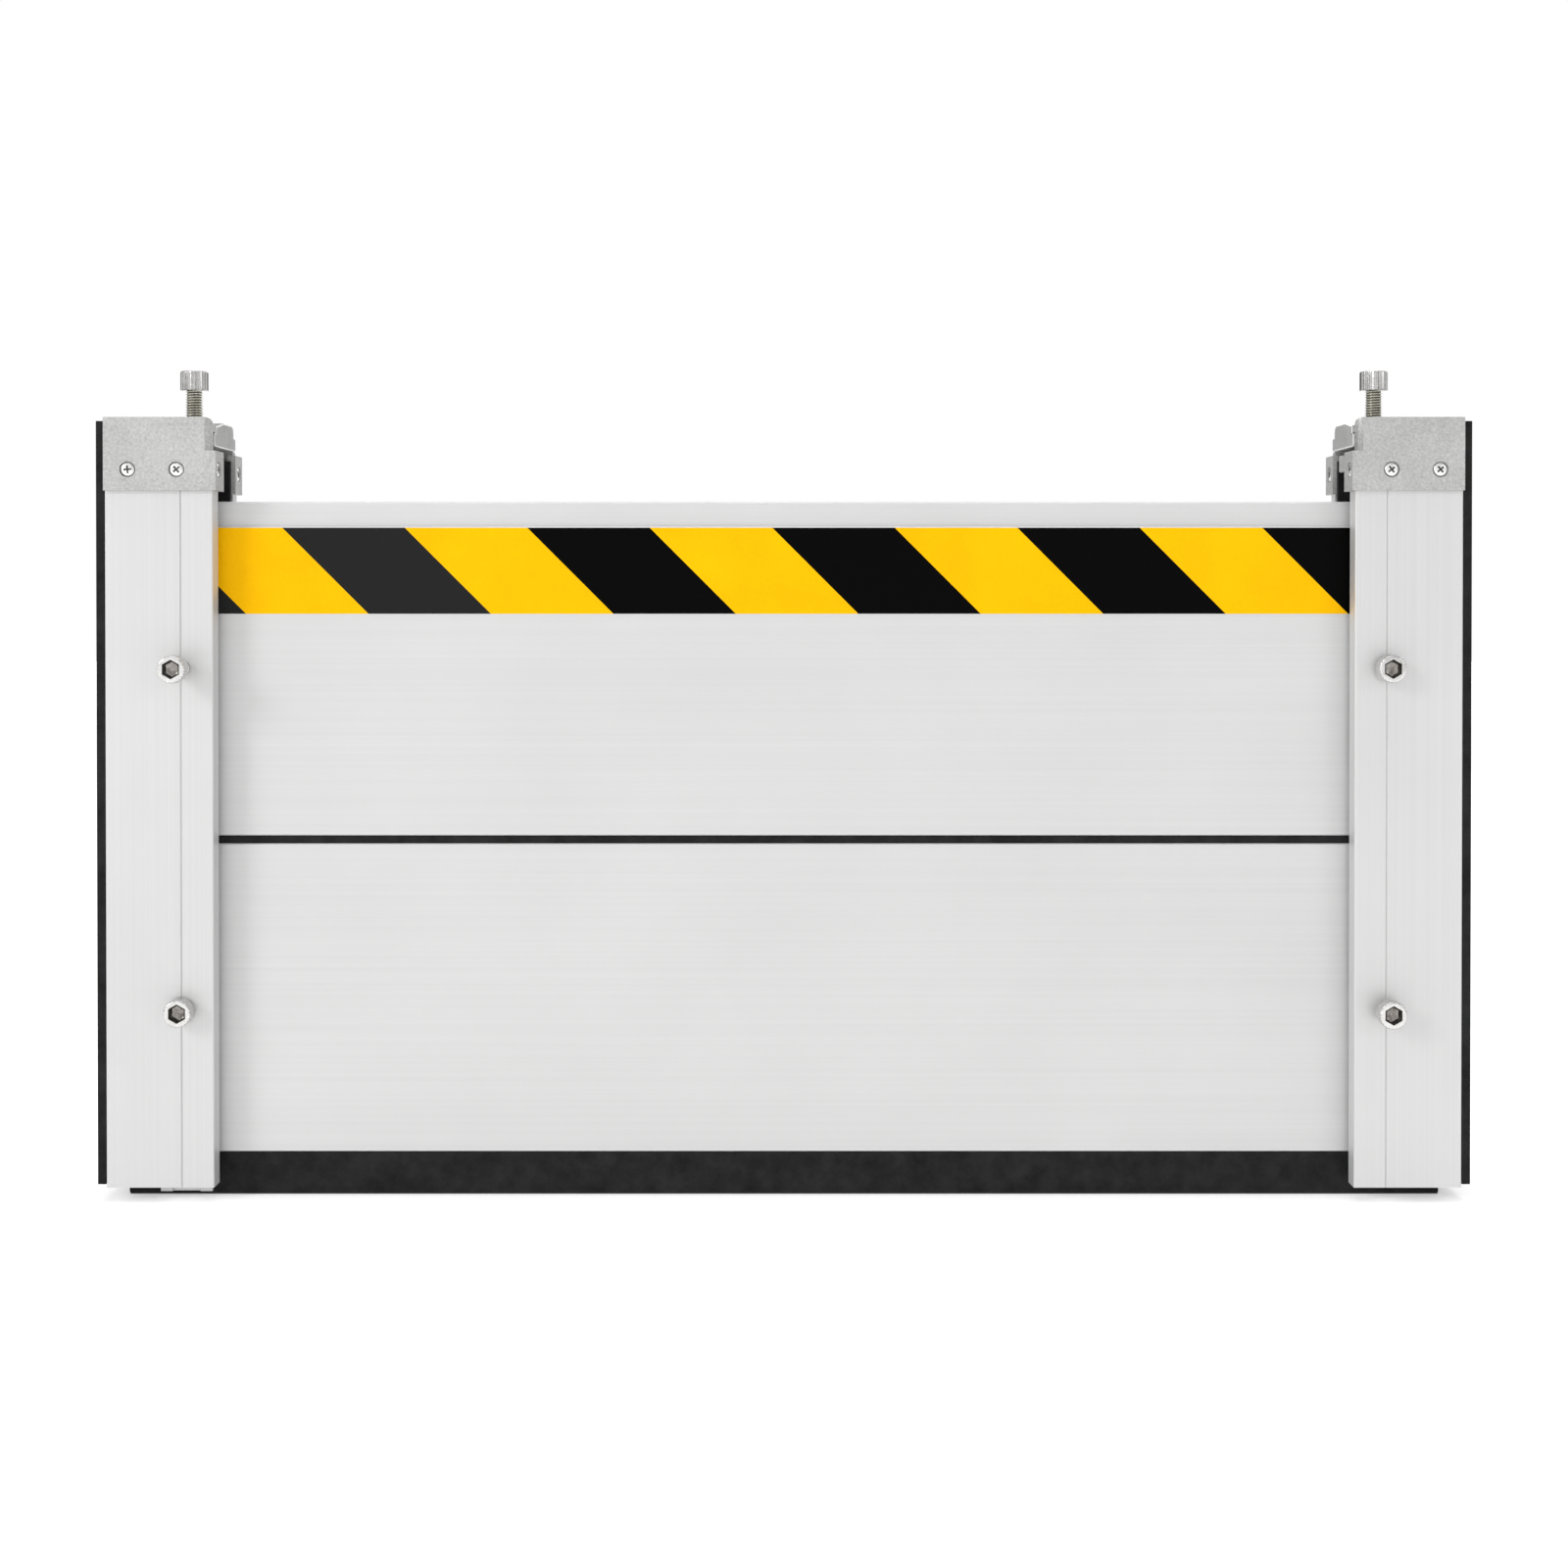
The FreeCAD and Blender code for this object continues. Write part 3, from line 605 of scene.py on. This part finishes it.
class Form:
    """A closed shape under construction, in metres, in the frame's own place."""

    weld = 0.002 * MM
    flat_angle = math.radians(0.6)
    smooth_angle = math.radians(38)

    def __init__(self) -> None:
        """Start with nothing."""
        self.mesh = bmesh.new()

    @classmethod
    def of_node(cls, node: str) -> "Form":
        """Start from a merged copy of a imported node.

        Args:
            node: The node's name.

        Returns:
            The form, with flat faces made whole again.
        """
        form = cls()
        form.mesh.from_mesh(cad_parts[node].data)
        form.merge()
        bmesh.ops.dissolve_limit(
            form.mesh,
            angle_limit=cls.flat_angle,
            verts=form.mesh.verts[:],
            edges=form.mesh.edges[:],
        )
        return form

    @classmethod
    def turned(cls, outline: Sequence[tuple[float, float]], steps: int = 48) -> "Form":
        """A closed shape turned about Z.

        Args:
            outline: Radius and height of each corner, from axis to axis, upwards.
            steps: Faces round the axis.

        Returns:
            The form.
        """
        form = cls()
        bm = form.mesh
        verts = [bm.verts.new((radius, 0.0, height)) for radius, height in outline]
        edges = [bm.edges.new(pair) for pair in zip(verts, verts[1:])]
        bmesh.ops.spin(
            bm,
            geom=verts + edges,
            cent=(0.0, 0.0, 0.0),
            axis=(0.0, 0.0, 1.0),
            angle=math.tau,
            steps=steps,
            use_merge=True,
        )
        form.merge()
        form.face_out()
        return form

    def merge(self) -> None:
        """Join corners that lie on each other."""
        bmesh.ops.remove_doubles(self.mesh, verts=self.mesh.verts[:], dist=self.weld)

    def face_out(self) -> None:
        """Turn every face outwards."""
        bmesh.ops.recalc_face_normals(self.mesh, faces=self.mesh.faces[:])

    def soften(
        self,
        radius: float,
        shortest: float = 0.0,
        segments: int = 3,
        angle: float = 30.0,
    ) -> "Form":
        """Round the sharp edges.

        Args:
            radius: Width of the rounding.
            shortest: Edges shorter than this stay sharp.
            segments: Faces across the rounding.
            angle: Edges that bend less than this, in degrees, stay as they are.

        Returns:
            The same form.
        """
        sharp = [
            edge
            for edge in self.mesh.edges
            if edge.is_manifold
            and edge.calc_face_angle(0.0) > math.radians(angle)
            and edge.calc_length() >= shortest
        ]
        bmesh.ops.bevel(
            self.mesh,
            geom=sharp,
            offset=radius,
            offset_type="OFFSET",
            segments=segments,
            profile=0.5,
            affect="EDGES",
            clamp_overlap=True,
            material=-1,
        )
        return self

    def join(self, other: "Form", material: Optional[int] = None) -> "Form":
        """Take another form's faces in.

        Args:
            other: The form to add; it is used up.
            material: The place of its material among the piece's own; without
                it the faces keep the places that they have.

        Returns:
            The same form.
        """
        if material is not None:
            for face in other.mesh.faces:
                face.material_index = material
        mesh = bpy.data.meshes.new("joining")
        other.mesh.to_mesh(mesh)
        other.mesh.free()
        self.mesh.from_mesh(mesh)
        bpy.data.meshes.remove(mesh)
        return self

    def move(self, matrix: Matrix) -> "Form":
        """Put the form somewhere else."""
        bmesh.ops.transform(self.mesh, matrix=matrix, verts=self.mesh.verts[:])
        return self

    def piece(
        self,
        name: str,
        body: str,
        nodes: Sequence[str],
        slot: str,
        materials: Sequence[bpy.types.Material],
    ) -> bpy.types.Object:
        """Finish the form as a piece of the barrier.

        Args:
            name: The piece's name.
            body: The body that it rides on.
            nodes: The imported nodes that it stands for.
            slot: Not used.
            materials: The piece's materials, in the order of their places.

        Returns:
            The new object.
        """
        data = bpy.data.meshes.new(name)
        self.mesh.to_mesh(data)
        self.mesh.free()
        data.shade_smooth()
        data.set_sharp_from_angle(angle=self.smooth_angle)
        for material in materials:
            data.materials.append(material)
        made = bpy.data.objects.new(name, data)
        bpy.context.scene.collection.objects.link(made)
        weighted = made.modifiers.new("face_weights", "WEIGHTED_NORMAL")
        weighted.keep_sharp = True
        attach(made, body)
        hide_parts(*nodes)
        log.info("%s: %d faces on %s", name, len(data.polygons), body)
        return made


class Ring:
    """The open edge of a shell that is raised, narrowed and closed step by step."""

    def __init__(self, form: Form, radius: float, height: float, count: int) -> None:
        """Start a circle in a form, at a height on the Z axis.

        Args:
            form: The form to add to.
            radius: Radius of the circle.
            height: Its height on the Z axis.
            count: Its corners.
        """
        self.form = form
        self.material = 0
        made = bmesh.ops.create_circle(
            form.mesh,
            cap_ends=False,
            radius=radius,
            segments=count,
            matrix=Matrix.Translation((0.0, 0.0, height)),
        )
        self.verts = made["verts"]
        self.edges = list({edge for vert in self.verts for edge in vert.link_edges})

    def extend(self, height: float, reach: Reach) -> "Ring":
        """Draw the shell on to a new edge.

        Args:
            height: Height of the new edge.
            reach: Its radius, from the angle round the axis and the radius so far.

        Returns:
            The same ring.
        """
        made = bmesh.ops.extrude_edge_only(self.form.mesh, edges=self.edges)["geom"]
        self.verts = [item for item in made if isinstance(item, bmesh.types.BMVert)]
        self.edges = [item for item in made if isinstance(item, bmesh.types.BMEdge)]
        for item in made:
            if isinstance(item, bmesh.types.BMFace):
                item.material_index = self.material
        self.shape(height, reach)
        return self

    def shape(self, height: float, reach: Reach) -> None:
        """Set the edge's height and its radius at each angle."""
        for vert in self.verts:
            turn = math.atan2(vert.co.y, vert.co.x)
            radius = reach(turn, vert.co.xy.length)
            vert.co = Vector((radius * math.cos(turn), radius * math.sin(turn), height))

    def close(self, height: float) -> None:
        """End the shell in a point on the axis."""
        self.extend(height, lambda turn, radius: radius * 0.2)
        bmesh.ops.pointmerge(self.form.mesh, verts=self.verts, merge_co=(0.0, 0.0, height))


def hexagon_reach(flats: float) -> Reach:
    """The distance from the axis to a hexagon's side, by angle.

    Args:
        flats: Width across the flats.

    Returns:
        The outline's function.
    """

    def reach(turn: float, _radius: float) -> float:
        """Distance at one angle."""
        sector = math.radians(60)
        return flats / 2 / math.cos((turn + sector / 2) % sector - sector / 2)

    return reach


# ---------------------------------------------------------------------------
# Screws
# ---------------------------------------------------------------------------


@dataclass
class SocketScrew:
    """A socket head screw along Z, with its head's underside at z = 0."""

    head_radius: float
    head_height: float
    length: float
    thread_radius: float = 5.0 * MM
    pitch: float = 1.5 * MM
    thread_depth: float = 0.86 * MM
    ribs: int = 24
    rib_depth: float = 0.3 * MM
    chamfer: float = 0.7 * MM
    flats: float = 8.0 * MM
    socket_lead: float = 0.85 * MM
    socket_depth: float = 5.6 * MM
    cone_depth: float = 1.6 * MM
    pin_radius: float = 0.0
    pin_length: float = 0.0
    bore_radius: float = 0.0
    bore_depth: float = 0.0
    steps: int = 32
    end_chamfer: float = 0.4 * MM
    core_cover: float = 0.05 * MM
    core_top: float = 1.0 * MM
    thread_top: float = 0.6 * MM
    thread_start: float = 0.5 * MM

    def head(self) -> Form:
        """The ribbed head with its hexagon socket.

        Returns:
            The head's form.
        """
        form = Form()
        count = self.ribs * 4

        def ribbed(outer: float) -> Reach:
            """Radius of a ribbed outline: two corners out, two corners in.

            Args:
                outer: Radius of the rib's crests.

            Returns:
                The outline's function.
            """

            def reach(turn: float, _radius: float) -> float:
                """Radius at one angle."""
                step = round(turn / math.tau * count) % 4
                return outer - (self.rib_depth if step in (2, 3) else 0.0)

            return reach

        top, foot = self.head_height, 0.0
        outer = self.head_radius
        ring = Ring(form, outer, foot, count)
        start_edges = ring.edges[:]
        ring.shape(foot, lambda turn, radius: outer - self.chamfer)
        ring.extend(foot + self.chamfer * 0.6, ribbed(outer))
        ring.extend(top - self.chamfer * 1.2, ribbed(outer))
        ring.extend(top - self.chamfer * 0.4, ribbed(outer - self.chamfer * 0.45))
        ring.extend(top - self.chamfer * 0.1, lambda turn, radius: outer - self.chamfer * 1.1)
        ring.extend(top, lambda turn, radius: outer - self.chamfer * 1.7)
        ring.extend(top, hexagon_reach(self.flats + 2 * self.socket_lead))
        # The socket walls take the third material, painted dark as shade.
        ring.material = 2
        ring.extend(top - self.socket_lead, hexagon_reach(self.flats))
        ring.extend(top - self.socket_depth, hexagon_reach(self.flats))
        # The socket's floor and cone take the fourth material, painted darker as shade.
        ring.material = 3
        ring.extend(
            top - self.socket_depth - 0.15 * MM,
            lambda turn, radius: min(radius, self.flats / 2 - 0.1 * MM),
        )
        ring.close(top - self.socket_depth - self.cone_depth)
        bmesh.ops.contextual_create(form.mesh, geom=start_edges)
        form.merge()
        form.face_out()
        return form

    def core(self) -> Form:
        """The shank's core, with its pin or its bored end.

        Returns:
            The core's form.
        """
        root = self.thread_radius - self.thread_depth + self.core_cover
        end = -self.length
        cut = self.end_chamfer
        if self.pin_radius:
            shoulder = end + self.pin_length
            start = [
                (0.0, end),
                (self.pin_radius - cut, end),
                (self.pin_radius, end + cut),
                (self.pin_radius, shoulder),
                (root - cut, shoulder),
                (root, shoulder + cut),
            ]
        else:
            start = [
                (0.0, end + self.bore_depth),
                (self.bore_radius, end + self.bore_depth),
                (self.bore_radius, end),
                (root - cut, end),
                (root, end + cut),
            ]
        top = self.core_top
        return Form.turned(start + [(root, top), (0.0, top)], self.steps)

    def thread(self) -> Form:
        """One helical ridge from the end of the shank to the head.

        Returns:
            The ridge's form.
        """
        form = Form()
        bm = form.mesh
        bottom = -self.length + self.pin_length + self.thread_start
        top = self.thread_top
        turns = math.ceil((top - bottom) / self.pitch) + 2
        root, crest = self.thread_radius - self.thread_depth, self.thread_radius
        start = bottom - self.pitch
        section = [
            (root, 0.0), (root, 0.16), (crest, 0.44), (crest, 0.58), (root, 0.86), (root, 1.0)
        ]
        verts = [
            bm.verts.new((radius, 0.0, start + share * self.pitch)) for radius, share in section
        ]
        edges = [bm.edges.new(pair) for pair in zip(verts, verts[1:])]
        bmesh.ops.spin(
            bm,
            geom=verts + edges,
            cent=(0.0, 0.0, 0.0),
            axis=(0.0, 0.0, 1.0),
            dvec=(0.0, 0.0, self.pitch / self.steps),
            angle=math.tau * turns,
            steps=self.steps * turns,
        )
        form.merge()
        for height, way in ((bottom, -1.0), (top, 1.0)):
            cut = bmesh.ops.bisect_plane(
                bm,
                geom=bm.verts[:] + bm.edges[:] + bm.faces[:],
                plane_co=(0.0, 0.0, height),
                plane_no=(0.0, 0.0, way),
                clear_outer=True,
            )["geom_cut"]
            rim = [item for item in cut if isinstance(item, bmesh.types.BMEdge)]
            bmesh.ops.contextual_create(bm, geom=rim)
        form.face_out()
        return form

    def build(self) -> Form:
        """The screw, with materials for head, thread, socket walls, socket floor and core; the
        socket walls, socket floor and core are painted dark as shade.
        """
        return self.head().join(self.core(), 4).join(self.thread(), 1)


@dataclass
class CrossScrew:
    """A small pan head screw with a cross recess, along Z, head upwards."""

    head_radius: float = 4.0 * MM
    head_height: float = 1.75 * MM
    shank_radius: float = 1.9 * MM
    length: float = 12.8 * MM
    slot_length: float = 5.3 * MM
    slot_width: float = 1.05 * MM
    slot_depth: float = 1.25 * MM

    def build(self, turn: float) -> Form:
        """The screw with its recess turned by an angle.

        Args:
            turn: Angle of the cross, in degrees.

        Returns:
            The form: metal in the first material, recess in the second, which is given a dark
                painted shade.
        """
        radius, top = self.head_radius, self.head_height
        outline = [
            (0.0, -self.length),
            (self.shank_radius * 0.35, -self.length),
            (self.shank_radius, -self.length + 2.2 * MM),
            (self.shank_radius, 0.0),
            (radius - 0.1 * MM, 0.0),
            (radius, 0.15 * MM),
            (radius, top * 0.42),
            (radius * 0.96, top * 0.66),
            (radius * 0.84, top * 0.86),
            (radius * 0.62, top * 0.97),
            (0.0, top),
        ]
        screw = Form.turned(outline, 40)
        for step in range(2):
            cutter = Form()
            bmesh.ops.create_cube(cutter.mesh, size=1.0)
            for vert in cutter.mesh.verts:
                if vert.co.z < 0:
                    vert.co.x *= 0.55
                    vert.co.y *= 0.75
            place = Matrix.Translation((0.0, 0.0, top - self.slot_depth / 2 + 0.25 * MM))
            place = place @ Matrix.Rotation(math.radians(turn + 90 * step), 4, "Z")
            size = (self.slot_length, self.slot_width, self.slot_depth + 0.5 * MM, 1.0)
            screw = carve(screw, cutter.move(place @ Matrix.Diagonal(size)))
        return screw


def carve(form: Form, cutter: Form) -> Form:
    """Cut one form out of another; the cut's own faces get the second material.

    Args:
        form: The form to cut; it is used up.
        cutter: The form to take away; it is used up.

    Returns:
        What is left.
    """
    for face in cutter.mesh.faces:
        face.material_index = 1
    cutter.face_out()
    placeholders = [bpy.data.materials.new("placeholder") for _ in range(2)]
    objects = []
    for source in (form, cutter):
        data = bpy.data.meshes.new("carving")
        source.mesh.to_mesh(data)
        source.mesh.free()
        for material in placeholders:
            data.materials.append(material)
        made = bpy.data.objects.new("carving", data)
        bpy.context.scene.collection.objects.link(made)
        objects.append(made)
    boolean = objects[0].modifiers.new("carve", "BOOLEAN")
    boolean.operation = "DIFFERENCE"
    boolean.solver = "EXACT"
    boolean.object = objects[1]
    bpy.context.view_layer.update()
    result = Form()
    evaluated = objects[0].evaluated_get(bpy.context.evaluated_depsgraph_get())
    result.mesh.from_mesh(evaluated.to_mesh())
    evaluated.to_mesh_clear()
    for made in objects:
        data = made.data
        bpy.data.objects.remove(made)
        bpy.data.meshes.remove(data)
    for material in placeholders:
        bpy.data.materials.remove(material)
    return result


# ---------------------------------------------------------------------------
# Sub-assemblies
# ---------------------------------------------------------------------------


@dataclass
class WallPost:
    """A post with the rubber between it and the wall and the rubber in its slot."""

    side: Side
    edge: float = 0.35 * MM
    long_edge: float = 8.0 * MM
    seal_edge: float = 0.5 * MM

    def build(self, finishes: Finishes) -> None:
        """Make the post, its seals and its press bar.

        Args:
            finishes: The barrier's materials.
        """
        side = self.side.value
        self.extrusion(f"{side}_post", "frame", "post_aluminium", finishes.post)
        self.extrusion(f"{side}_press_bar", f"{side}_press_bar", "panel_aluminium", finishes.post)
        for seal in ("wall_seal", "slot_seal"):
            node = f"{side}_{seal}"
            form = Form.of_node(node).soften(self.seal_edge, self.long_edge)
            form.piece(f"{node}_rubber", "frame", [node], "black_rubber", [finishes.rubber])

    def extrusion(self, node: str, body: str, slot: str, material: bpy.types.Material) -> None:
        """Make one length of extrusion with its long edges eased."""
        form = Form.of_node(node).soften(self.edge, self.long_edge, 2)
        form.piece(f"{node}_extrusion", body, [node], slot, [material])


@dataclass
class PostCap:
    """A cast cap with its cross-recessed screws."""

    side: Side
    front_turns: tuple[float, float]
    edge: float = 0.55 * MM
    shortest: float = 2.0 * MM
    bend: float = 50.0
    wall_column: float = 14.0 * MM
    mouth_column: float = 22.5 * MM
    cheek_column: float = 8.0 * MM
    recess: float = 1.8 * MM
    front_length: float = 11.0 * MM
    back_length: float = 4.5 * MM
    cheek_length: float = 6.0 * MM
    back_turn: float = 20.0
    cheek_turns: tuple[float, float] = (12.0, 52.0)

    def build(self, finishes: Finishes) -> None:
        """Make the casting and the six screws.

        Args:
            finishes: The barrier's materials.
        """
        node = f"{self.side.value}_cap"
        form = Form.of_node(node).soften(self.edge, self.shortest, 3, self.bend)
        form.piece(f"{node}_casting", "frame", [node], "cast_metal", [finishes.casting])
        self.screws(finishes)

    def screws(self, finishes: Finishes) -> None:
        """Make the screws in front, behind and on the cheeks as one piece.

        Args:
            finishes: The barrier's materials.
        """
        node = f"{self.side.value}_cap_screws"
        low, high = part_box(node)
        cap_low, cap_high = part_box(f"{self.side.value}_cap")
        outward = 1.0 if self.side is Side.RIGHT else -1.0
        height = (low.z + high.z) / 2
        inner = cap_low.x if self.side is Side.RIGHT else cap_high.x
        wall = cap_high.x if self.side is Side.RIGHT else cap_low.x
        columns = (wall - outward * self.wall_column, inner + outward * self.mouth_column)
        front, back = cap_low.y + self.recess, cap_high.y - self.recess
        spots = []
        for column, turn in zip(columns, self.front_turns):
            spot, behind = Vector((column, front, height)), Vector((column, back, height))
            spots.append((spot, "front", turn, self.front_length))
            spots.append((behind, "back", turn + self.back_turn, self.back_length))
        depths = (cap_low.y + self.cheek_column, cap_high.y - self.cheek_column)
        for depth, turn in zip(depths, self.cheek_turns):
            spot = Vector((inner + outward * self.recess, depth, height))
            spots.append((spot, "cheek", turn, self.cheek_length))
        facing = {
            "front": Matrix.Rotation(math.radians(90), 4, "X"),
            "back": Matrix.Rotation(math.radians(-90), 4, "X"),
            "cheek": Matrix.Rotation(math.radians(-90 * outward), 4, "Y"),
        }
        form = Form()
        for spot, way, turn, length in spots:
            screw = CrossScrew(length=length).build(turn)
            screw.move(Matrix.Translation(spot) @ facing[way])
            form.join(screw)
        # The recess material paints the shade inside each cross recess.
        form.piece(f"{node}_set", "frame", [node], "small_screws",
                   [finishes.small_screw, finishes.recess])


@dataclass
class PressClamp:
    """The sliding carriage in a cap, with its foot and its press screw."""

    side: Side
    carriage_edge: float = 1.1 * MM
    foot_edge: float = 0.5 * MM
    shortest: float = 2.4 * MM
    bend: float = 40.0
    head_height: float = 11.5 * MM
    pin_radius: float = 3.5 * MM
    pin_length: float = 6.1 * MM

    def build(self, finishes: Finishes) -> None:
        """Make the carriage, the foot and the screw.

        Args:
            finishes: The barrier's materials.
        """
        side = self.side.value
        carriage, foot = f"{side}_carriage", f"{side}_press_foot"
        form = Form.of_node(carriage).soften(self.carriage_edge, self.shortest, 3, self.bend)
        form.piece(f"{carriage}_block", carriage, [carriage], "cast_metal", [finishes.block])
        form = Form.of_node(foot).soften(self.foot_edge, self.shortest, 2, self.bend)
        form.piece(f"{foot}_block", foot, [foot], "cast_metal", [finishes.block])
        self.screw(finishes)

    def screw(self, finishes: Finishes) -> None:
        """Make the press screw where its node stands.

        Args:
            finishes: The barrier's materials.
        """
        node = f"{self.side.value}_press_screw"
        low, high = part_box(node)
        under = high.z - self.head_height
        made = SocketScrew(
            head_radius=(high.x - low.x) / 2,
            head_height=high.z - under,
            length=under - low.z,
            pin_radius=self.pin_radius,
            pin_length=self.pin_length,
        )
        spot = Vector(((low.x + high.x) / 2, (low.y + high.y) / 2, under))
        form = made.build().move(Matrix.Translation(spot))
        form.piece(f"{node}_turned", node, [node], "stainless_steel",
                   finishes.socket_screw(finishes.press_head))


@dataclass
class SideClamp:
    """A clamp screw through the front of a post."""

    side: Side
    level: Level
    head_height: float = 10.0 * MM
    bore_radius: float = 3.1 * MM
    bore_depth: float = 2.9 * MM

    def build(self, finishes: Finishes) -> None:
        """Make the screw, and dress the pad in its end.

        Args:
            finishes: The barrier's materials.
        """
        node = f"{self.side.value}_{self.level.value}_screw"
        pad = f"{self.side.value}_{self.level.value}_pad"
        low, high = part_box(node)
        made = SocketScrew(
            head_radius=(high.x - low.x) / 2,
            head_height=self.head_height,
            length=high.y - low.y - self.head_height,
            bore_radius=self.bore_radius,
            bore_depth=self.bore_depth,
        )
        spot = Vector(((low.x + high.x) / 2, low.y + self.head_height, (low.z + high.z) / 2))
        place = Matrix.Translation(spot) @ Matrix.Rotation(math.radians(90), 4, "X")
        form = made.build().move(place)
        form.piece(f"{node}_turned", node, [node], "stainless_steel",
                   finishes.socket_screw(finishes.steel))
        dress(pad, finishes.nylon)


@dataclass
class PanelStack:
    """The two panels with their plugs, seals and warning tape."""

    edge: float = 0.25 * MM
    long_edge: float = 100.0 * MM
    seal_edge: float = 0.8 * MM

    def build(self, finishes: Finishes) -> None:
        """Make the panels and what is fixed to them.

        Args:
            finishes: The barrier's materials.
        """
        for level in Level:
            node = f"{level.value}_panel"
            form = Form.of_node(node).soften(self.edge, self.long_edge, 2)
            form.piece(f"{node}_extrusion", node, [node], "panel_aluminium", [finishes.panel])
            dress(f"{level.value}_end_plugs", finishes.nylon)
        for node in ("seam_gasket", "floor_seal"):
            form = Form.of_node(node).soften(self.seal_edge, self.long_edge, 3)
            form.piece(f"{node}_rubber", "lower_panel", [node], "black_rubber", [finishes.rubber])
        dress("hazard_tape", finishes.tape)


def dress(node: str, material: bpy.types.Material) -> None:
    """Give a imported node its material.

    Args:
        node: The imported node's name.
        material: Its material.
    """
    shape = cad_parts[node]
    shape.data.materials.clear()
    shape.data.materials.append(material)
    log.info("%s: kept, in %s", node, material.name)


@dataclass
class SoftBox:
    """A large area light that looks at a point."""

    name: str
    spot: tuple[float, float, float]
    width: float
    depth: float
    power: float
    target: tuple[float, float, float] = (0.0, 0.0, 0.24)

    def build(self) -> None:
        """Hang the light."""
        light = bpy.data.lights.new(self.name, "AREA")
        light.shape = "RECTANGLE"
        light.size, light.size_y = self.width, self.depth
        light.energy = self.power
        lamp = bpy.data.objects.new(self.name, light)
        lamp.location = self.spot
        aim = Vector(self.target) - Vector(self.spot)
        lamp.rotation_euler = aim.to_track_quat("-Z", "Y").to_euler()
        bpy.context.scene.collection.objects.link(lamp)


@dataclass
class Studio:
    """Floor, soft light and the camera in front of the barrier."""

    distance: float = 1.300
    camera_height: float = 0.3453
    lens: float = 52.1
    shift_up: float = -0.1013
    pitch_down: float = 0.57
    floor_size: float = 24.0
    sky_seen: float = 1.0
    sky_light: float = 0.62
    card_level: float = 1.15

    def build(self) -> None:
        """Set up the stage."""
        self.floor()
        self.sky()
        for light in (
            SoftBox("key_light", (-5.6, -4.6, 3.2), 2.2, 2.6, 190.0),
            SoftBox("fill_light", (4.4, -5.0, 2.4), 2.2, 2.6, 42.0),
            SoftBox("top_light", (0.0, 0.2, 3.0), 3.0, 2.0, 34.0),
            SoftBox("back_light", (0.8, 2.8, 2.0), 2.0, 1.6, 20.0),
        ):
            light.build()
        self.camera()

    def floor(self) -> None:
        """Lay the floor just under the seal."""
        form = Form()
        bmesh.ops.create_grid(form.mesh, x_segments=8, y_segments=8, size=self.floor_size / 2)
        data = bpy.data.meshes.new("floor")
        form.mesh.to_mesh(data)
        form.mesh.free()
        data.materials.append(PaleFloor().make())
        floor = bpy.data.objects.new("floor", data)
        bpy.context.scene.collection.objects.link(floor)
        floor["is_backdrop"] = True

    def sky(self) -> None:
        """A white surround, softer as a light and banded as a reflection."""
        world = bpy.data.worlds.new("studio")
        bpy.context.scene.world = world
        net = Network(world)
        rays = net.node("ShaderNodeLightPath")
        direction = net.node(
            "ShaderNodeSeparateXYZ",
            None,
            {0: net.out(net.node("ShaderNodeTexCoord"), "Generated")},
        )
        around = net.out(
            net.node(
                "ShaderNodeMath",
                {"operation": "ARCTAN2"},
                {0: net.out(direction, "Y"), 1: net.out(direction, "X")},
            )
        )
        bands = net.ramp(around / math.tau + 0.5, self.reflection_bands())
        light = net.mix(net.out(rays, "Is Glossy Ray"), grey(self.sky_light), bands)
        colour = net.mix(net.out(rays, "Is Camera Ray"), light, grey(self.sky_seen))
        background = net.node("ShaderNodeBackground", None, {"Color": colour})
        net.node("ShaderNodeOutputWorld", None, {"Surface": net.out(background)})

    def reflection_bands(self) -> list[tuple[float, Colour]]:
        """Bright cards with dark gaps, once round the horizon from the left.

        Returns:
            Places round the horizon and their colours.
        """
        levels = (
            (0.00, 0.90), (0.02, 0.90), (0.035, 0.12), (0.065, 0.12), (0.09, 0.80),
            (0.13, 0.85), (0.15, 0.30), (0.17, 0.30), (0.19, 0.90), (0.27, 0.90),
            (0.29, 0.40), (0.31, 0.40), (0.33, 0.70), (0.36, 0.12), (0.42, 0.12),
            (0.46, 0.90), (0.53, 0.90), (0.58, 0.35), (0.70, 0.30), (0.80, 0.30),
            (0.88, 0.15), (0.93, 0.15), (0.96, 0.90), (1.00, 0.90),
        )
        return [(place, grey(level * self.card_level)) for place, level in levels]

    def camera(self) -> None:
        """Stand the camera square in front, a little above the middle."""
        data = bpy.data.cameras.new("camera")
        data.sensor_width = 36.0
        data.lens = self.lens
        data.shift_y = self.shift_up
        data.dof.use_dof = False
        data.clip_start = 0.01
        camera = bpy.data.objects.new("camera", data)
        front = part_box("left_cap")[0].y
        camera.location = (0.0, front - self.distance, self.camera_height)
        camera.rotation_euler = (math.radians(90 - self.pitch_down), 0.0, 0.0)
        bpy.context.scene.collection.objects.link(camera)
        bpy.context.scene.camera = camera


def main() -> None:
    """Build the barrier and its stage."""
    logging.basicConfig(level=logging.INFO, format="%(message)s")
    packed = [corner.copy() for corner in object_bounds()]
    bpy.context.scene.view_settings.view_transform = "Standard"
    Studio().build()
    finishes = Finishes()
    turns = {Side.LEFT: (4.0, 40.0), Side.RIGHT: (40.0, 38.0)}
    for side in Side:
        WallPost(side).build(finishes)
        PostCap(side, turns[side]).build(finishes)
        PressClamp(side).build(finishes)
        for level in Level:
            SideClamp(side, level).build(finishes)
    PanelStack().build(finishes)


if __name__ == "__main__":
    main()
